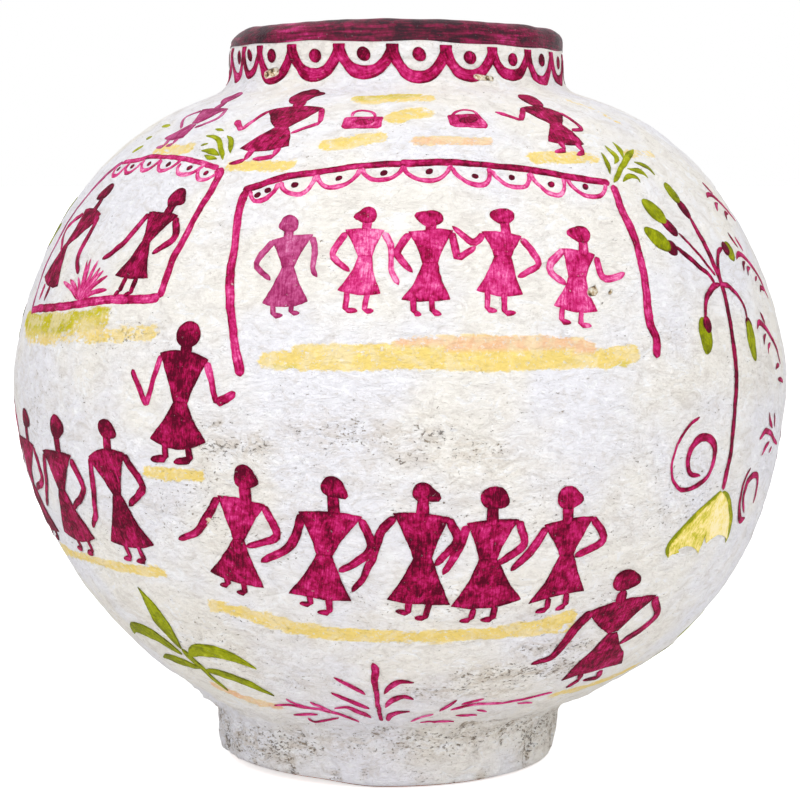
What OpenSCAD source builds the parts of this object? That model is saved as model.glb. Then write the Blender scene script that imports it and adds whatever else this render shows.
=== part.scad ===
// Round-bodied earthenware water jar on a foot ring, built in thrown sections that are luted
// together with coils of slip clay, then brushed with a thick white ground and a painted lip.
// Millimetres, +Z up. The origin is the middle of the foot's underside, on the table.

/* [Body] */
// Widest diameter, over the white ground
body_d = 350; // [310:1:390]
// Depth of the lower bowl's curve below the widest line
bowl_depth = 166; // [140:1:190]
// How full the lower bowl's curve is, where 2 is an ellipse
bowl_fullness = 2.1; // [1.9:0.05:2.5]
// Rise of the shoulder's curve above the widest line, to where it would close
shoulder_rise = 133; // [110:1:160]
// How full the shoulder is sideways
shoulder_fullness = 3.2; // [2.6:0.1:3.8]
// How early the shoulder turns in towards the neck, where less is earlier
shoulder_turn = 1.6; // [1.4:0.05:2]
// Thickness of the body's clay
wall = 8; // [6:0.5:11]

/* [Foot ring] */
// Diameter where the foot meets the bowl, over the white ground
foot_d = 158; // [140:1:180]
// Height from the table to where the foot meets the bowl
foot_h = 26; // [22:1:40]
// How much the foot's radius shrinks towards the table
foot_taper = 2.5; // [0:0.5:6]
// Width of the foot ring at the table
foot_wall = 15; // [11:1:22]
// Rounding of the foot's outer bottom edge, over the white ground
foot_round = 5; // [3:0.5:7]

/* [Neck and lip] */
// Diameter of the neck, over the white ground
neck_d = 154; // [146:1:170]
// Width of the neck's wall, from the outside to the clear mouth, over its coats
neck_wall = 11; // [9:0.5:16]
// Height from the shoulder to the top of the lip
neck_h = 29; // [24:1:45]
// Height of the painted lip
lip_h = 11; // [8:0.5:14]
// Rounding of the lip's outer top edge, over the paint
lip_round = 5; // [3.5:0.5:5.5]
// Rounding of the lip's inner top edge, over the paint
lip_inner_round = 3; // [2.5:0.5:3.5]

/* [Joints between sections] */
// Height of the tongue that the lower bowl puts up inside the shoulder's edge
belly_tongue = 8; // [5:1:14]
// Height of the tongue that the neck puts up inside the lip
lip_tongue = 3; // [2:0.5:4]
// Leg of the slip coils smoothed into the corners at the foot and the neck
coil_leg = 7; // [5:0.5:9]
// Height of the slip coil pressed over the belly joint on the inside
belly_coil_h = 30; // [20:1:44]
// Thickness of that coil at its middle
belly_coil_t = 4; // [2:0.5:7]

/* [Coatings] */
// Thickness of the white ground and of the painted coat on the lip
coat = 1.5; // [0.8:0.1:2]

/* [Hidden] */
$fn = 96;

clay_colour = [0.62, 0.33, 0.20];
slip_colour = [0.70, 0.42, 0.27];
ground_colour = [0.90, 0.89, 0.87];
lip_colour = [0.34, 0.03, 0.13];

// Degrees between the points of the body's curves
turn = 3;
// Degrees between the points of a small rounding
round_turn = 15;
// Steps of a smoothed corner
corner_steps = 5;
// Degrees below the horizontal at which the white ground stops on the foot's bottom edge
ground_end = 50;
// Least flat left on top of the lip
lip_flat = 1;
// How far a cutting shape runs past what it cuts
past = 4;

belly_r = body_d / 2;
foot_r = foot_d / 2;
neck_r = neck_d / 2;
mouth_r = neck_r - neck_wall;
neck_clay_r = neck_r - coat;
// The socket in the shoulder that the neck's spigot drops into
socket_r = (mouth_r + neck_clay_r) / 2;
foot_inner_r = foot_r - foot_taper - foot_wall;
// The lip's roundings, which leave a flat between them on a narrow wall too
lip_outer_r = min(lip_round, neck_wall / 2);
lip_inner_r = min(lip_inner_round, neck_wall / 2 - lip_flat);

// Heights, each worked out from the one below it
function bowl_drop(r) = bowl_depth * pow(1 - pow(r / belly_r, bowl_fullness), 1 / bowl_fullness);
function shoulder_climb(r) =
    shoulder_rise * pow(1 - pow(r / belly_r, shoulder_fullness), 1 / shoulder_turn);
belly_z = foot_h + bowl_drop(foot_r);
top_z = belly_z + shoulder_climb(neck_r) + neck_h;
lip_z = top_z - lip_h;

// A point of the body's outline: a runs from 0 at the widest line to 90 at the pole
function body_curve(a, up) = up
    ? [belly_r * pow(cos(a), 2 / shoulder_fullness), shoulder_rise * pow(sin(a), 2 / shoulder_turn)]
    : [belly_r * pow(cos(a), 2 / bowl_fullness), -bowl_depth * pow(sin(a), 2 / bowl_fullness)];

// The outward normal there, from the chord between two points close by
function body_normal(a, up) =
    a <= 0 ? [1, 0] :
    a >= 90 ? [0, up ? 1 : -1] :
    let (chord = body_curve(a + 0.1, up) - body_curve(a - 0.1, up), along = chord / norm(chord))
    up ? [along[1], -along[0]] : [-along[1], along[0]];

// One half of the outline, moved outwards by d, from the widest line to the pole
function half_outline(d, up) =
    [for (a = [0 : turn : 90]) body_curve(a, up) + d * body_normal(a, up) + [0, belly_z]];

function reversed(points) = [for (i = [len(points) - 1 : -1 : 0]) points[i]];
function height_at(r, d, up) = lookup(r, half_outline(d, up));
function radius_at(z, d, up) = lookup(z, [for (p = half_outline(d, up)) [p[1], p[0]]]);
function point_at(r, d, up) = [r, height_at(r, d, up)];

// A corner smoothed from p to q, pulled towards the sharp corner k
function smoothed(p, k, q) =
    [for (i = [0 : corner_steps]) let (s = i / corner_steps)
        pow(1 - s, 2) * p + 2 * s * (1 - s) * k + pow(s, 2) * q];

function arc(centre, r, from, to) =
    [for (a = [from : (from < to ? 1 : -1) * round_turn : to]) centre + r * [cos(a), sin(a)]];

// The foot's outside: its bottom rounding and its straight side
foot_round_centre = [foot_r - foot_taper - foot_round, foot_round];
function foot_side_r(z, d) =
    foot_r + d - foot_taper * (foot_h - z) / (foot_h - foot_round);
function foot_side(z, d) = [foot_side_r(z, d), z];
function foot_edge(d) =
    [for (a = [-ground_end : ground_end / 4 : 0])
        foot_round_centre + (foot_round + d) * [cos(a), sin(a)]];

// The sharp corners at the foot and the neck, and the smoothed ones over their slip coils
function foot_corner(d) = point_at(foot_r + d, d, false);
function neck_corner(d) = point_at(neck_r + d, d, true);
function foot_fillet(d) =
    let (k = foot_corner(d))
    smoothed(foot_side(k[1] - coil_leg, d), k, point_at(k[0] + coil_leg, d, false));
function neck_fillet(d) =
    let (k = neck_corner(d))
    smoothed(point_at(k[0] + coil_leg, d, true), k, [k[0], k[1] + coil_leg]);

// The whole outside from the foot's bottom edge to the painted lip, moved outwards by d
function jar_outline(d) =
    let (foot = foot_fillet(d), neck = neck_fillet(d))
    concat(
        foot_edge(d),
        foot,
        [for (p = reversed(half_outline(d, false))) if (p[1] > foot[corner_steps][1] + 0.2) p],
        [for (p = half_outline(d, true)) if (p[1] > belly_z + 0.2 && p[1] < neck[0][1] - 0.2) p],
        neck,
        [[neck_r + d, lip_z]]);

// The joint at the belly, from the clay's outside to its inside
clay_in = -coat - wall;
tongue_r = belly_r - coat - wall / 2;
tongue_z = belly_z + belly_tongue;
belly_joint = [[belly_r - coat, belly_z], [tongue_r, belly_z], [tongue_r, tongue_z],
               [radius_at(tongue_z, clay_in, true), tongue_z]];

// Where the neck sits on the shoulder, and where its spigot ends inside
seat_z = neck_corner(-coat)[1];
spigot_z = height_at(socket_r, clay_in, true);
neck_mid_r = (mouth_r + coat + neck_clay_r) / 2;

// The lower bowl's outside, filled up to the widest line
module bowl_form() {
    rotate_extrude() polygon(concat([[0, belly_z]], half_outline(-coat, false)));
}

// The space inside the body
module cavity_form() {
    rotate_extrude()
        polygon(concat(reversed(half_outline(clay_in, false)),
                       [for (p = half_outline(clay_in, true)) if (p[1] > belly_z) p]));
}

// The foot ring before it is fitted to the bowl
module foot_form() {
    rotate_extrude()
        polygon(concat(
            [[foot_inner_r, 0], [foot_round_centre[0], 0]],
            foot_edge(-coat),
            [foot_side(foot_h + past, -coat), [foot_inner_r, foot_h + past]]));
}

module foot_ring() {
    color(clay_colour)
        difference() {
            foot_form();
            bowl_form();
        }
}

module lower_bowl() {
    color(clay_colour)
        rotate_extrude()
            polygon(concat(
                reversed(half_outline(-coat, false)),
                [for (i = [1 : 3]) belly_joint[i]],
                reversed([for (p = half_outline(clay_in, true)) if (p[1] < tongue_z - 0.2) p]),
                [for (p = half_outline(clay_in, false)) if (p[1] < belly_z) p]));
}

module shoulder_dome() {
    color(clay_colour)
        difference() {
            rotate_extrude()
                polygon(concat(
                    half_outline(-coat, true),
                    reversed([for (p = half_outline(clay_in, true)) if (p[1] > tongue_z + 0.2) p]),
                    reversed([for (i = [1 : 3]) belly_joint[i]])));
            translate([0, 0, belly_z]) cylinder(r = socket_r, h = shoulder_rise + past);
            translate([0, 0, seat_z]) cylinder(r = belly_r, h = shoulder_rise);
        }
}

module neck_collar() {
    color(clay_colour)
        rotate_extrude()
            polygon([[mouth_r, spigot_z], [socket_r, spigot_z], [socket_r, seat_z],
                     [neck_clay_r, seat_z], [neck_clay_r, lip_z], [neck_mid_r, lip_z],
                     [neck_mid_r, lip_z + lip_tongue], [mouth_r + coat, lip_z + lip_tongue],
                     [mouth_r + coat, lip_z], [mouth_r, lip_z]]);
}

// The lip's section above the neck, moved outwards by d, from outside to inside
function lip_section(d) =
    let (outer = [neck_r - lip_outer_r, top_z - lip_outer_r],
         inner = [mouth_r + lip_inner_r, top_z - lip_inner_r])
    concat([[neck_r + d, lip_z]],
           arc(outer, lip_outer_r + d, 0, 90),
           arc(inner, lip_inner_r + d, 90, 180));

module lip_roll() {
    color(clay_colour)
        rotate_extrude()
            polygon(concat(
                lip_section(-coat),
                [[mouth_r + coat, lip_z + lip_tongue], [neck_mid_r, lip_z + lip_tongue],
                 [neck_mid_r, lip_z]]));
}

module foot_joint_coil() {
    color(slip_colour)
        difference() {
            rotate_extrude()
                polygon(concat(foot_fillet(-coat), [foot_corner(-coat) + [-1, past]]));
            bowl_form();
            foot_form();
        }
}

module foot_joint_inner_coil() {
    k = point_at(foot_inner_r, -coat, false);
    color(slip_colour)
        difference() {
            rotate_extrude()
                polygon(concat(
                    smoothed(point_at(k[0] - coil_leg, -coat, false), k, k - [0, coil_leg]),
                    [k + [1, past]]));
            bowl_form();
            foot_form();
        }
}

module belly_joint_coil() {
    z = belly_z + belly_tongue / 2;
    r = radius_at(z, clay_in, true);
    color(slip_colour)
        intersection() {
            rotate_extrude()
                polygon(concat(
                    [for (a = [-90 : round_turn : 90])
                        [r - belly_coil_t * cos(a), z + belly_coil_h / 2 * sin(a)]],
                    [[r + past, z + belly_coil_h / 2], [r + past, z - belly_coil_h / 2]]));
            cavity_form();
        }
}

module neck_joint_coil() {
    k = neck_corner(-coat);
    color(slip_colour)
        difference() {
            rotate_extrude() polygon(concat(neck_fillet(-coat), [k]));
            rotate_extrude() polygon(concat(half_outline(-coat, true), [[0, belly_z]]));
        }
}

module neck_joint_inner_coil() {
    start = [mouth_r, spigot_z];
    end = point_at(socket_r + coil_leg, clay_in, true);
    color(slip_colour)
        rotate_extrude()
            polygon(concat(
                smoothed(start, [mouth_r, spigot_z - coil_leg], end),
                reversed([for (p = half_outline(clay_in, true))
                    if (p[0] > socket_r + 0.2 && p[0] < end[0] - 0.2) p]),
                [[socket_r, spigot_z]]));
}

module white_ground() {
    color(ground_colour)
        rotate_extrude() polygon(concat(jar_outline(0), reversed(jar_outline(-coat))));
}

module lip_paint() {
    color(lip_colour)
        rotate_extrude()
            polygon(concat(
                lip_section(0),
                [[mouth_r, lip_z], [mouth_r + coat, lip_z]],
                reversed(lip_section(-coat))));
}

foot_ring();
lower_bowl();
shoulder_dome();
neck_collar();
lip_roll();
foot_joint_coil();
foot_joint_inner_coil();
belly_joint_coil();
neck_joint_coil();
neck_joint_inner_coil();
white_ground();
lip_paint();
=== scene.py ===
"""Painted earthenware water jar: bare clay inside, a thick chalky coat and brushed folk ornament."""
import logging
import math
from collections.abc import Callable, Sequence
from dataclasses import dataclass, field
from enum import Enum

import bmesh
import bpy
import numpy
from mathutils import Matrix, Vector, noise
from mathutils.bvhtree import BVHTree


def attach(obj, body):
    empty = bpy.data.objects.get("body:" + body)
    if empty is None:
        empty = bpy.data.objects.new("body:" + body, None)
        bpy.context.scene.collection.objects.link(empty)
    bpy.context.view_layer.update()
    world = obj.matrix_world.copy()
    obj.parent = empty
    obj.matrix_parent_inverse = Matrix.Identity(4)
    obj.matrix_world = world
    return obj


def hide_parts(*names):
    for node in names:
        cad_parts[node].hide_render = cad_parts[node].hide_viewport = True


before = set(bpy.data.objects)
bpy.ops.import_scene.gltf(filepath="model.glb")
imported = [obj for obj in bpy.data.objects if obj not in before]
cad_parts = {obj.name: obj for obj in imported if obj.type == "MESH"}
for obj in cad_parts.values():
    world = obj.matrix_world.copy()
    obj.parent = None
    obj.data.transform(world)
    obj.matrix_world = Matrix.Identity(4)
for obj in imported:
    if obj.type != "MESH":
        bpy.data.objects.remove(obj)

LOG = logging.getLogger("water_jar")
MM = 0.001
WELD = 1e-6
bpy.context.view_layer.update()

Point = tuple[float, float]
Line = Sequence[Point]
Colour = tuple[float, float, float, float]
Shape = Callable[[float, float], tuple[float, float, float, float, float]]


def ease(low: float, high: float, x: float) -> float:
    """Rise smoothly from 0 to 1 between two values.

    Args:
        low: where the rise starts.
        high: where it ends.
        x: the value asked about.

    Returns:
        A number from 0 to 1.
    """
    t = min(max((x - low) / (high - low), 0.0), 1.0)
    return t * t * (3 - 2 * t)


def paint_colour(red: int, green: int, blue: int) -> Colour:
    """Turn a colour as a screen shows it into the linear colour that a shader takes.

    Args:
        red: red, from 0 to 255.
        green: green, from 0 to 255.
        blue: blue, from 0 to 255.

    Returns:
        Linear red, green, blue and an opacity of 1.
    """
    def linear(value: int) -> float:
        """Undo the screen's curve for one channel."""
        share = value / 255
        return share / 12.92 if share <= 0.04045 else ((share + 0.055) / 1.055) ** 2.4
    return (linear(red), linear(green), linear(blue), 1.0)


class Shading:
    """Adds nodes to one shader tree and links them."""

    def __init__(self, tree: bpy.types.NodeTree) -> None:
        """Keep the tree that nodes are added to."""
        self.tree = tree

    def add(self, kind: str, inputs: dict[str | int, object] | None = None,
            **settings: object) -> bpy.types.Node:
        """Add a node, set it up and wire its inputs.

        Args:
            kind: the node's class, without its ShaderNode prefix.
            inputs: a value or another node's socket for each input, by name or place.
            settings: attributes of the node itself.

        Returns:
            The new node.
        """
        node = self.tree.nodes.new("ShaderNode" + kind)
        for name, value in settings.items():
            setattr(node, name, value)
        for key, value in (inputs or {}).items():
            if isinstance(value, bpy.types.NodeSocket):
                self.tree.links.new(value, node.inputs[key])
            else:
                node.inputs[key].default_value = value
        return node

    def place(self, scale: tuple[float, float, float] = (1, 1, 1)) -> bpy.types.NodeSocket:
        """Give the surface's own coordinates, stretched by a scale along each axis."""
        coords = self.add("TexCoord").outputs["Object"]
        if scale == (1, 1, 1):
            return coords
        return self.add("Mapping", {"Vector": coords, "Scale": scale}).outputs["Vector"]

    def cloud(self, where: bpy.types.NodeSocket, scale: float, detail: float = 4,
              roughness: float = 0.55, distortion: float = 0) -> bpy.types.NodeSocket:
        """Add fractal noise.

        Args:
            where: the coordinates.
            scale: how many lumps to a metre.
            detail: how many finer layers are added.
            roughness: how strong the finer layers are.
            distortion: how far the pattern is pulled about.

        Returns:
            A value near 0.5.
        """
        node = self.add("TexNoise", {"Vector": where, "Scale": scale, "Detail": detail,
                                     "Roughness": roughness, "Distortion": distortion})
        return node.outputs["Fac"]

    def sum(self, operation: str, first: object, second: object = 0.0,
            clamp: bool = False) -> bpy.types.NodeSocket:
        """Combine two values.

        Args:
            operation: the Math node's operation.
            first: a number or a socket.
            second: a number or a socket.
            clamp: whether the result stays from 0 to 1.

        Returns:
            The result's socket.
        """
        node = self.add("Math", {0: first, 1: second}, operation=operation, use_clamp=clamp)
        return node.outputs[0]

    def span(self, value: bpy.types.NodeSocket, low: float, high: float,
             new_low: float = 0.0, new_high: float = 1.0) -> bpy.types.NodeSocket:
        """Stretch a stretch of values to another and clamp it there.

        Args:
            value: the socket that is read.
            low: where the stretch starts.
            high: where it ends.
            new_low: what the start becomes.
            new_high: what the end becomes.

        Returns:
            The stretched value's socket.
        """
        node = self.add("MapRange", {"Value": value, "From Min": low, "From Max": high,
                                     "To Min": new_low, "To Max": new_high},
                        interpolation_type="SMOOTHSTEP")
        return node.outputs["Result"]

    def blend(self, share: object, first: object, second: object,
              blend_type: str = "MIX") -> bpy.types.NodeSocket:
        """Mix two colours.

        Args:
            share: how much of the second shows.
            first: a colour or a socket.
            second: a colour or a socket.
            blend_type: how they combine.

        Returns:
            The mixed colour's socket.
        """
        node = self.add("Mix", {0: share, 6: first, 7: second}, data_type="RGBA",
                        blend_type=blend_type)
        return node.outputs[2]

    def ramp(self, value: bpy.types.NodeSocket, stops: Sequence[Colour]) -> bpy.types.NodeSocket:
        """Read a colour off evenly spaced stops.

        Args:
            value: where on the ramp, from 0 to 1.
            stops: the colours, from 0 to 1.

        Returns:
            The colour's socket.
        """
        node = self.add("ValToRGB", {"Fac": value})
        elements = node.color_ramp.elements
        while len(elements) < len(stops):
            elements.new(0.5)
        for index, stop in enumerate(stops):
            elements[index].position = index / (len(stops) - 1)
            elements[index].color = stop
        return node.outputs["Color"]

    def stored(self, name: str, output: str = "Fac") -> bpy.types.NodeSocket:
        """Read a value that is stored on the piece's points."""
        return self.add("Attribute", attribute_name=name, attribute_type="GEOMETRY").outputs[output]


class Effect:
    """A shader node group that several materials share."""

    made: dict[str, bpy.types.NodeTree] = {}

    def __init__(self, name: str, inputs: dict[str, float], outputs: dict[str, str],
                 fill: Callable[[Shading, bpy.types.Node, bpy.types.Node], None]) -> None:
        """Describe the group.

        Args:
            name: the group's name.
            inputs: each number that a material sets, with its default.
            outputs: each result, with its kind of socket, Float or Color.
            fill: adds the group's nodes between its input and output node.
        """
        self.name = name
        self.inputs = inputs
        self.outputs = outputs
        self.fill = fill

    def tree(self) -> bpy.types.NodeTree:
        """Make the group the first time it is asked for.

        Returns:
            The group's node tree.
        """
        if self.name in Effect.made:
            return Effect.made[self.name]
        tree = bpy.data.node_groups.new(self.name, "ShaderNodeTree")
        for name, default in self.inputs.items():
            socket = tree.interface.new_socket(name=name, in_out="INPUT",
                                               socket_type="NodeSocketFloat")
            socket.default_value = default
        for name, kind in self.outputs.items():
            tree.interface.new_socket(name=name, in_out="OUTPUT",
                                      socket_type="NodeSocket" + kind)
        entry = tree.nodes.new("NodeGroupInput")
        exit_node = tree.nodes.new("NodeGroupOutput")
        self.fill(Shading(tree), entry, exit_node)
        Effect.made[self.name] = tree
        return tree

    def use(self, shading: Shading, **values: object) -> bpy.types.Node:
        """Place the group in a material.

        Args:
            shading: the material's tree.
            values: a number or a socket for each input.

        Returns:
            The group's node.
        """
        node = shading.tree.nodes.new("ShaderNodeGroup")
        node.node_tree = self.tree()
        for name, value in values.items():
            if isinstance(value, bpy.types.NodeSocket):
                shading.tree.links.new(value, node.inputs[name])
            else:
                node.inputs[name].default_value = value
        return node


def fill_chalk(shading: Shading, entry: bpy.types.Node, exit_node: bpy.types.Node) -> None:
    """Fill the group of the rough, pulpy white ground.

    Args:
        shading: the group's tree.
        entry: its input node.
        exit_node: its output node.
    """
    place = shading.place()
    flat = shading.place((1, 1, 1.8))
    patches = shading.span(shading.cloud(place, 17, 3), 0.38, 0.62)
    colour = shading.blend(patches, paint_colour(242, 241, 247), paint_colour(247, 243, 236))
    flakes = shading.cloud(flat, 105, 5, 0.66, 1.2)
    colour = shading.blend(shading.span(flakes, 0.5, 0.66, 0, 0.46), colour,
                           paint_colour(214, 207, 201))
    colour = shading.blend(shading.span(flakes, 0.47, 0.34, 0, 0.8), colour,
                           paint_colour(252, 252, 254))
    fibres = shading.cloud(flat, 360, 6, 0.7, 1.6)
    colour = shading.blend(shading.span(fibres, 0.56, 0.7, 0, 0.5), colour,
                           paint_colour(178, 169, 162))
    soil_noise = shading.cloud(flat, 95, 6, 0.74, 1.0)
    soil = shading.sum("MULTIPLY", entry.outputs["Soil"],
                       shading.span(soil_noise, 0.44, 0.6), clamp=True)
    colour = shading.blend(shading.sum("MULTIPLY", soil, 0.5), colour,
                           paint_colour(190, 172, 148))
    gathered = shading.span(shading.cloud(place, 30, 3), 0.46, 0.64, 0, 0.05)
    threshold = shading.sum("SUBTRACT", 0.715, gathered)
    threshold = shading.sum("SUBTRACT", threshold,
                            shading.sum("MULTIPLY", entry.outputs["Soil"], 0.15))
    grains = shading.cloud(flat, 520, 3, 0.66, 0.5)
    clots = shading.sum("MULTIPLY", entry.outputs["Soil"],
                        shading.span(shading.cloud(flat, 215, 5, 0.72, 0.7), 0.6, 0.7))
    specks = shading.sum("MULTIPLY", shading.sum("SUBTRACT", grains, threshold), 22, clamp=True)
    specks = shading.sum("ADD", specks, shading.sum("MULTIPLY", clots, 0.85), clamp=True)
    grain_colour = shading.ramp(shading.span(shading.cloud(place, 160, 2), 0.35, 0.65),
                                (paint_colour(84, 70, 58), paint_colour(150, 128, 100)))
    colour = shading.blend(shading.sum("MULTIPLY", specks, 0.8), colour, grain_colour)
    chip_noise = shading.cloud(place, 420, 3, 0.6)
    chip = shading.span(shading.sum("MULTIPLY", entry.outputs["Chip"],
                                    shading.sum("ADD", chip_noise, 0.55)), 0.42, 0.6)
    chip_colour = shading.ramp(shading.span(chip_noise, 0.36, 0.64),
                               (paint_colour(80, 62, 48), paint_colour(196, 168, 128),
                                paint_colour(238, 232, 214)))
    colour = shading.blend(chip, colour, chip_colour)
    height = shading.sum("MULTIPLY", shading.cloud(place, 130, 3, 0.5), 0.9)
    height = shading.sum("ADD", height, shading.sum("MULTIPLY", flakes, 0.9))
    height = shading.sum("ADD", height, shading.sum("MULTIPLY", fibres, 0.6))
    height = shading.sum("SUBTRACT", height, shading.sum("MULTIPLY", specks, 0.25))
    height = shading.sum("SUBTRACT", height, shading.sum("MULTIPLY", chip, 0.6))
    link = shading.tree.links.new
    link(colour, exit_node.inputs["Colour"])
    link(height, exit_node.inputs["Height"])
    link(shading.span(fibres, 0.3, 0.7, 0.76, 0.96), exit_node.inputs["Roughness"])


def fill_brushed(shading: Shading, entry: bpy.types.Node, exit_node: bpy.types.Node) -> None:
    """Fill the group that says how thickly paint lies and where it misses.

    Args:
        shading: the group's tree.
        entry: its input node.
        exit_node: its output node.
    """
    place = shading.place()
    pools = shading.cloud(place, 230, 3, 0.6, 0.5)
    speckle = shading.cloud(place, 760, 4, 0.66)
    hairs = shading.add("Mapping", {"Vector": shading.stored("brush", "Vector"),
                                    "Scale": (1.5, 0.14, 1.0)}).outputs["Vector"]
    streaks = shading.span(shading.cloud(hairs, 1.0, 4, 0.62), 0.3, 0.7, -1, 1)
    depth = shading.sum("ADD", entry.outputs["Load"],
                        shading.span(shading.cloud(place, 85, 3, 0.55), 0.32, 0.68, -0.13, 0.13))
    depth = shading.sum("ADD", depth, shading.span(pools, 0.32, 0.68, -0.17, 0.17))
    depth = shading.sum("ADD", depth, shading.span(speckle, 0.32, 0.68, -0.12, 0.12))
    depth = shading.sum("ADD", depth, shading.sum("MULTIPLY", streaks, entry.outputs["Streak"]))
    depth = shading.sum("ADD", depth, shading.sum("MULTIPLY", entry.outputs["Rim"], 0.17),
                        clamp=True)
    dry = shading.sum("ADD", shading.span(speckle, 0.64, 0.74),
                      shading.span(shading.cloud(place, 330, 5, 0.7, 1.0), 0.7, 0.8))
    thin = shading.span(entry.outputs["Load"], 0.9, 0.1, 0.2, 0.6)
    cover = shading.sum("SUBTRACT", 1.0, shading.sum("MULTIPLY", dry, thin), clamp=True)
    shading.tree.links.new(depth, exit_node.inputs["Depth"])
    shading.tree.links.new(cover, exit_node.inputs["Cover"])


def fill_clay(shading: Shading, entry: bpy.types.Node, exit_node: bpy.types.Node) -> None:
    """Fill the group of fired clay: thrown bands, grit and pale bloom.

    Args:
        shading: the group's tree.
        entry: its input node.
        exit_node: its output node.
    """
    place = shading.place()
    bands = shading.cloud(shading.place((0.12, 0.12, 1)), 240, 3, 0.6)
    grit = shading.cloud(place, 800, 4, 0.65)
    bloom = shading.cloud(place, 22, 4, 0.6)
    tone = shading.sum("ADD", shading.sum("MULTIPLY", bands, entry.outputs["Banding"]),
                       shading.sum("MULTIPLY", bloom, 0.6))
    tone = shading.sum("ADD", tone, shading.sum("MULTIPLY", grit, 0.3))
    shading.tree.links.new(shading.span(tone, 0.45, 1.05), exit_node.inputs["Tone"])
    height = shading.sum("ADD", bands, shading.sum("MULTIPLY", grit, 0.6))
    shading.tree.links.new(height, exit_node.inputs["Height"])


CHALK = Effect("chalk_ground", {"Soil": 0.0, "Chip": 0.0},
               {"Colour": "Color", "Height": "Float", "Roughness": "Float"}, fill_chalk)
BRUSHED = Effect("brushed_load", {"Load": 0.6, "Rim": 0.0, "Streak": 0.12},
                 {"Depth": "Float", "Cover": "Float"}, fill_brushed)
CLAY = Effect("fired_clay", {"Banding": 0.5}, {"Tone": "Float", "Height": "Float"}, fill_clay)


@dataclass(frozen=True)
class Finish:
    """A named material of the jar."""

    name: str

    def start(self) -> tuple[bpy.types.Material, Shading, bpy.types.Node]:
        """Make an empty material with its main shader.

        Returns:
            The material, its tree's helper and its Principled BSDF.
        """
        material = bpy.data.materials.new(self.name)
        material.use_nodes = True
        shading = Shading(material.node_tree)
        return material, shading, material.node_tree.nodes["Principled BSDF"]

    def relief(self, shading: Shading, body: bpy.types.Node, height: bpy.types.NodeSocket,
               depth: float, strength: float) -> None:
        """Feed a height into the shader's normal.

        Args:
            shading: the material's tree.
            body: its Principled BSDF.
            height: the height, from 0 to about 1.
            depth: how deep a height of 1 is, in metres.
            strength: how much of the relief shows.
        """
        bump = shading.add("Bump", {"Height": height, "Distance": depth, "Strength": strength})
        shading.tree.links.new(bump.outputs["Normal"], body.inputs["Normal"])


@dataclass(frozen=True)
class ChalkFinish(Finish):
    """The white ground, with the soft washes that lie in it."""

    lemon: Colour = paint_colour(210, 198, 12)
    yellow: Colour = paint_colour(250, 222, 128)
    orange: Colour = paint_colour(250, 202, 158)
    thin: Colour = paint_colour(252, 236, 196)
    depth: float = 0.0019
    strength: float = 1.0

    def material(self) -> bpy.types.Material:
        """Make the material of the coat.

        Returns:
            The material.
        """
        material, shading, body = self.start()
        ground = CHALK.use(shading, Soil=shading.stored("soil"), Chip=shading.stored("chip"))
        flow = shading.cloud(shading.place(), 110, 5, 0.66, 0.6)
        fine = shading.cloud(shading.place((1, 1, 2.2)), 380, 3, 0.6)
        broad = shading.cloud(shading.place(), 42, 2, 0.5)
        uneven = shading.sum("ADD", shading.span(flow, 0.3, 0.7, -0.26, 0.26),
                             shading.span(fine, 0.3, 0.7, -0.2, 0.2))
        uneven = shading.sum("ADD", uneven, shading.span(broad, 0.3, 0.7, -0.16, 0.2))
        wash = shading.stored("wash")
        held = shading.span(shading.sum("ADD", wash, uneven), 0.22, 0.64)
        tint = shading.ramp(shading.stored("hue"), (self.lemon, self.yellow, self.orange))
        tint = shading.blend(shading.span(flow, 0.44, 0.62, 0, 0.6), tint, self.thin)
        washed = shading.blend(0.25, tint, ground.outputs["Colour"], "MULTIPLY")
        grains = shading.span(shading.cloud(shading.place(), 620, 4, 0.66), 0.56, 0.68, 0, 0.7)
        tinted = shading.blend(grains, washed, ground.outputs["Colour"])
        share = shading.sum("MULTIPLY", held, shading.span(wash, 0.02, 0.3), clamp=True)
        colour = shading.blend(share, ground.outputs["Colour"], tinted)
        link = shading.tree.links.new
        link(colour, body.inputs["Base Color"])
        link(ground.outputs["Roughness"], body.inputs["Roughness"])
        body.inputs["Specular IOR Level"].default_value = 0.3
        self.relief(shading, body, ground.outputs["Height"], self.depth, self.strength)
        return material


@dataclass(frozen=True)
class PaintFinish(Finish):
    """A brushed paint, from where it lies thin to where it pools."""

    stops: tuple[Colour, ...] = ()
    roughness: float = 0.6
    gloss: float = 0.07
    streak: float = 0.15
    depth: float = 0.0009
    strength: float = 0.5

    def material(self) -> bpy.types.Material:
        """Make the paint's material.

        Returns:
            The material.
        """
        material, shading, body = self.start()
        brushed = BRUSHED.use(shading, Load=shading.stored("load"), Rim=shading.stored("rim"),
                              Streak=self.streak)
        ground = CHALK.use(shading, Soil=0.0, Chip=shading.stored("chip"))
        paint = shading.ramp(brushed.outputs["Depth"], self.stops)
        kept = shading.sum("SUBTRACT", 1.0, shading.span(shading.stored("chip"), 0.3, 0.6))
        cover = shading.sum("MULTIPLY", brushed.outputs["Cover"], kept, clamp=True)
        link = shading.tree.links.new
        link(shading.blend(cover, ground.outputs["Colour"], paint), body.inputs["Base Color"])
        link(shading.span(cover, 0, 1, 0.9, self.roughness), body.inputs["Roughness"])
        body.inputs["Specular IOR Level"].default_value = self.gloss
        self.relief(shading, body, ground.outputs["Height"], self.depth, self.strength)
        return material


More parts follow.
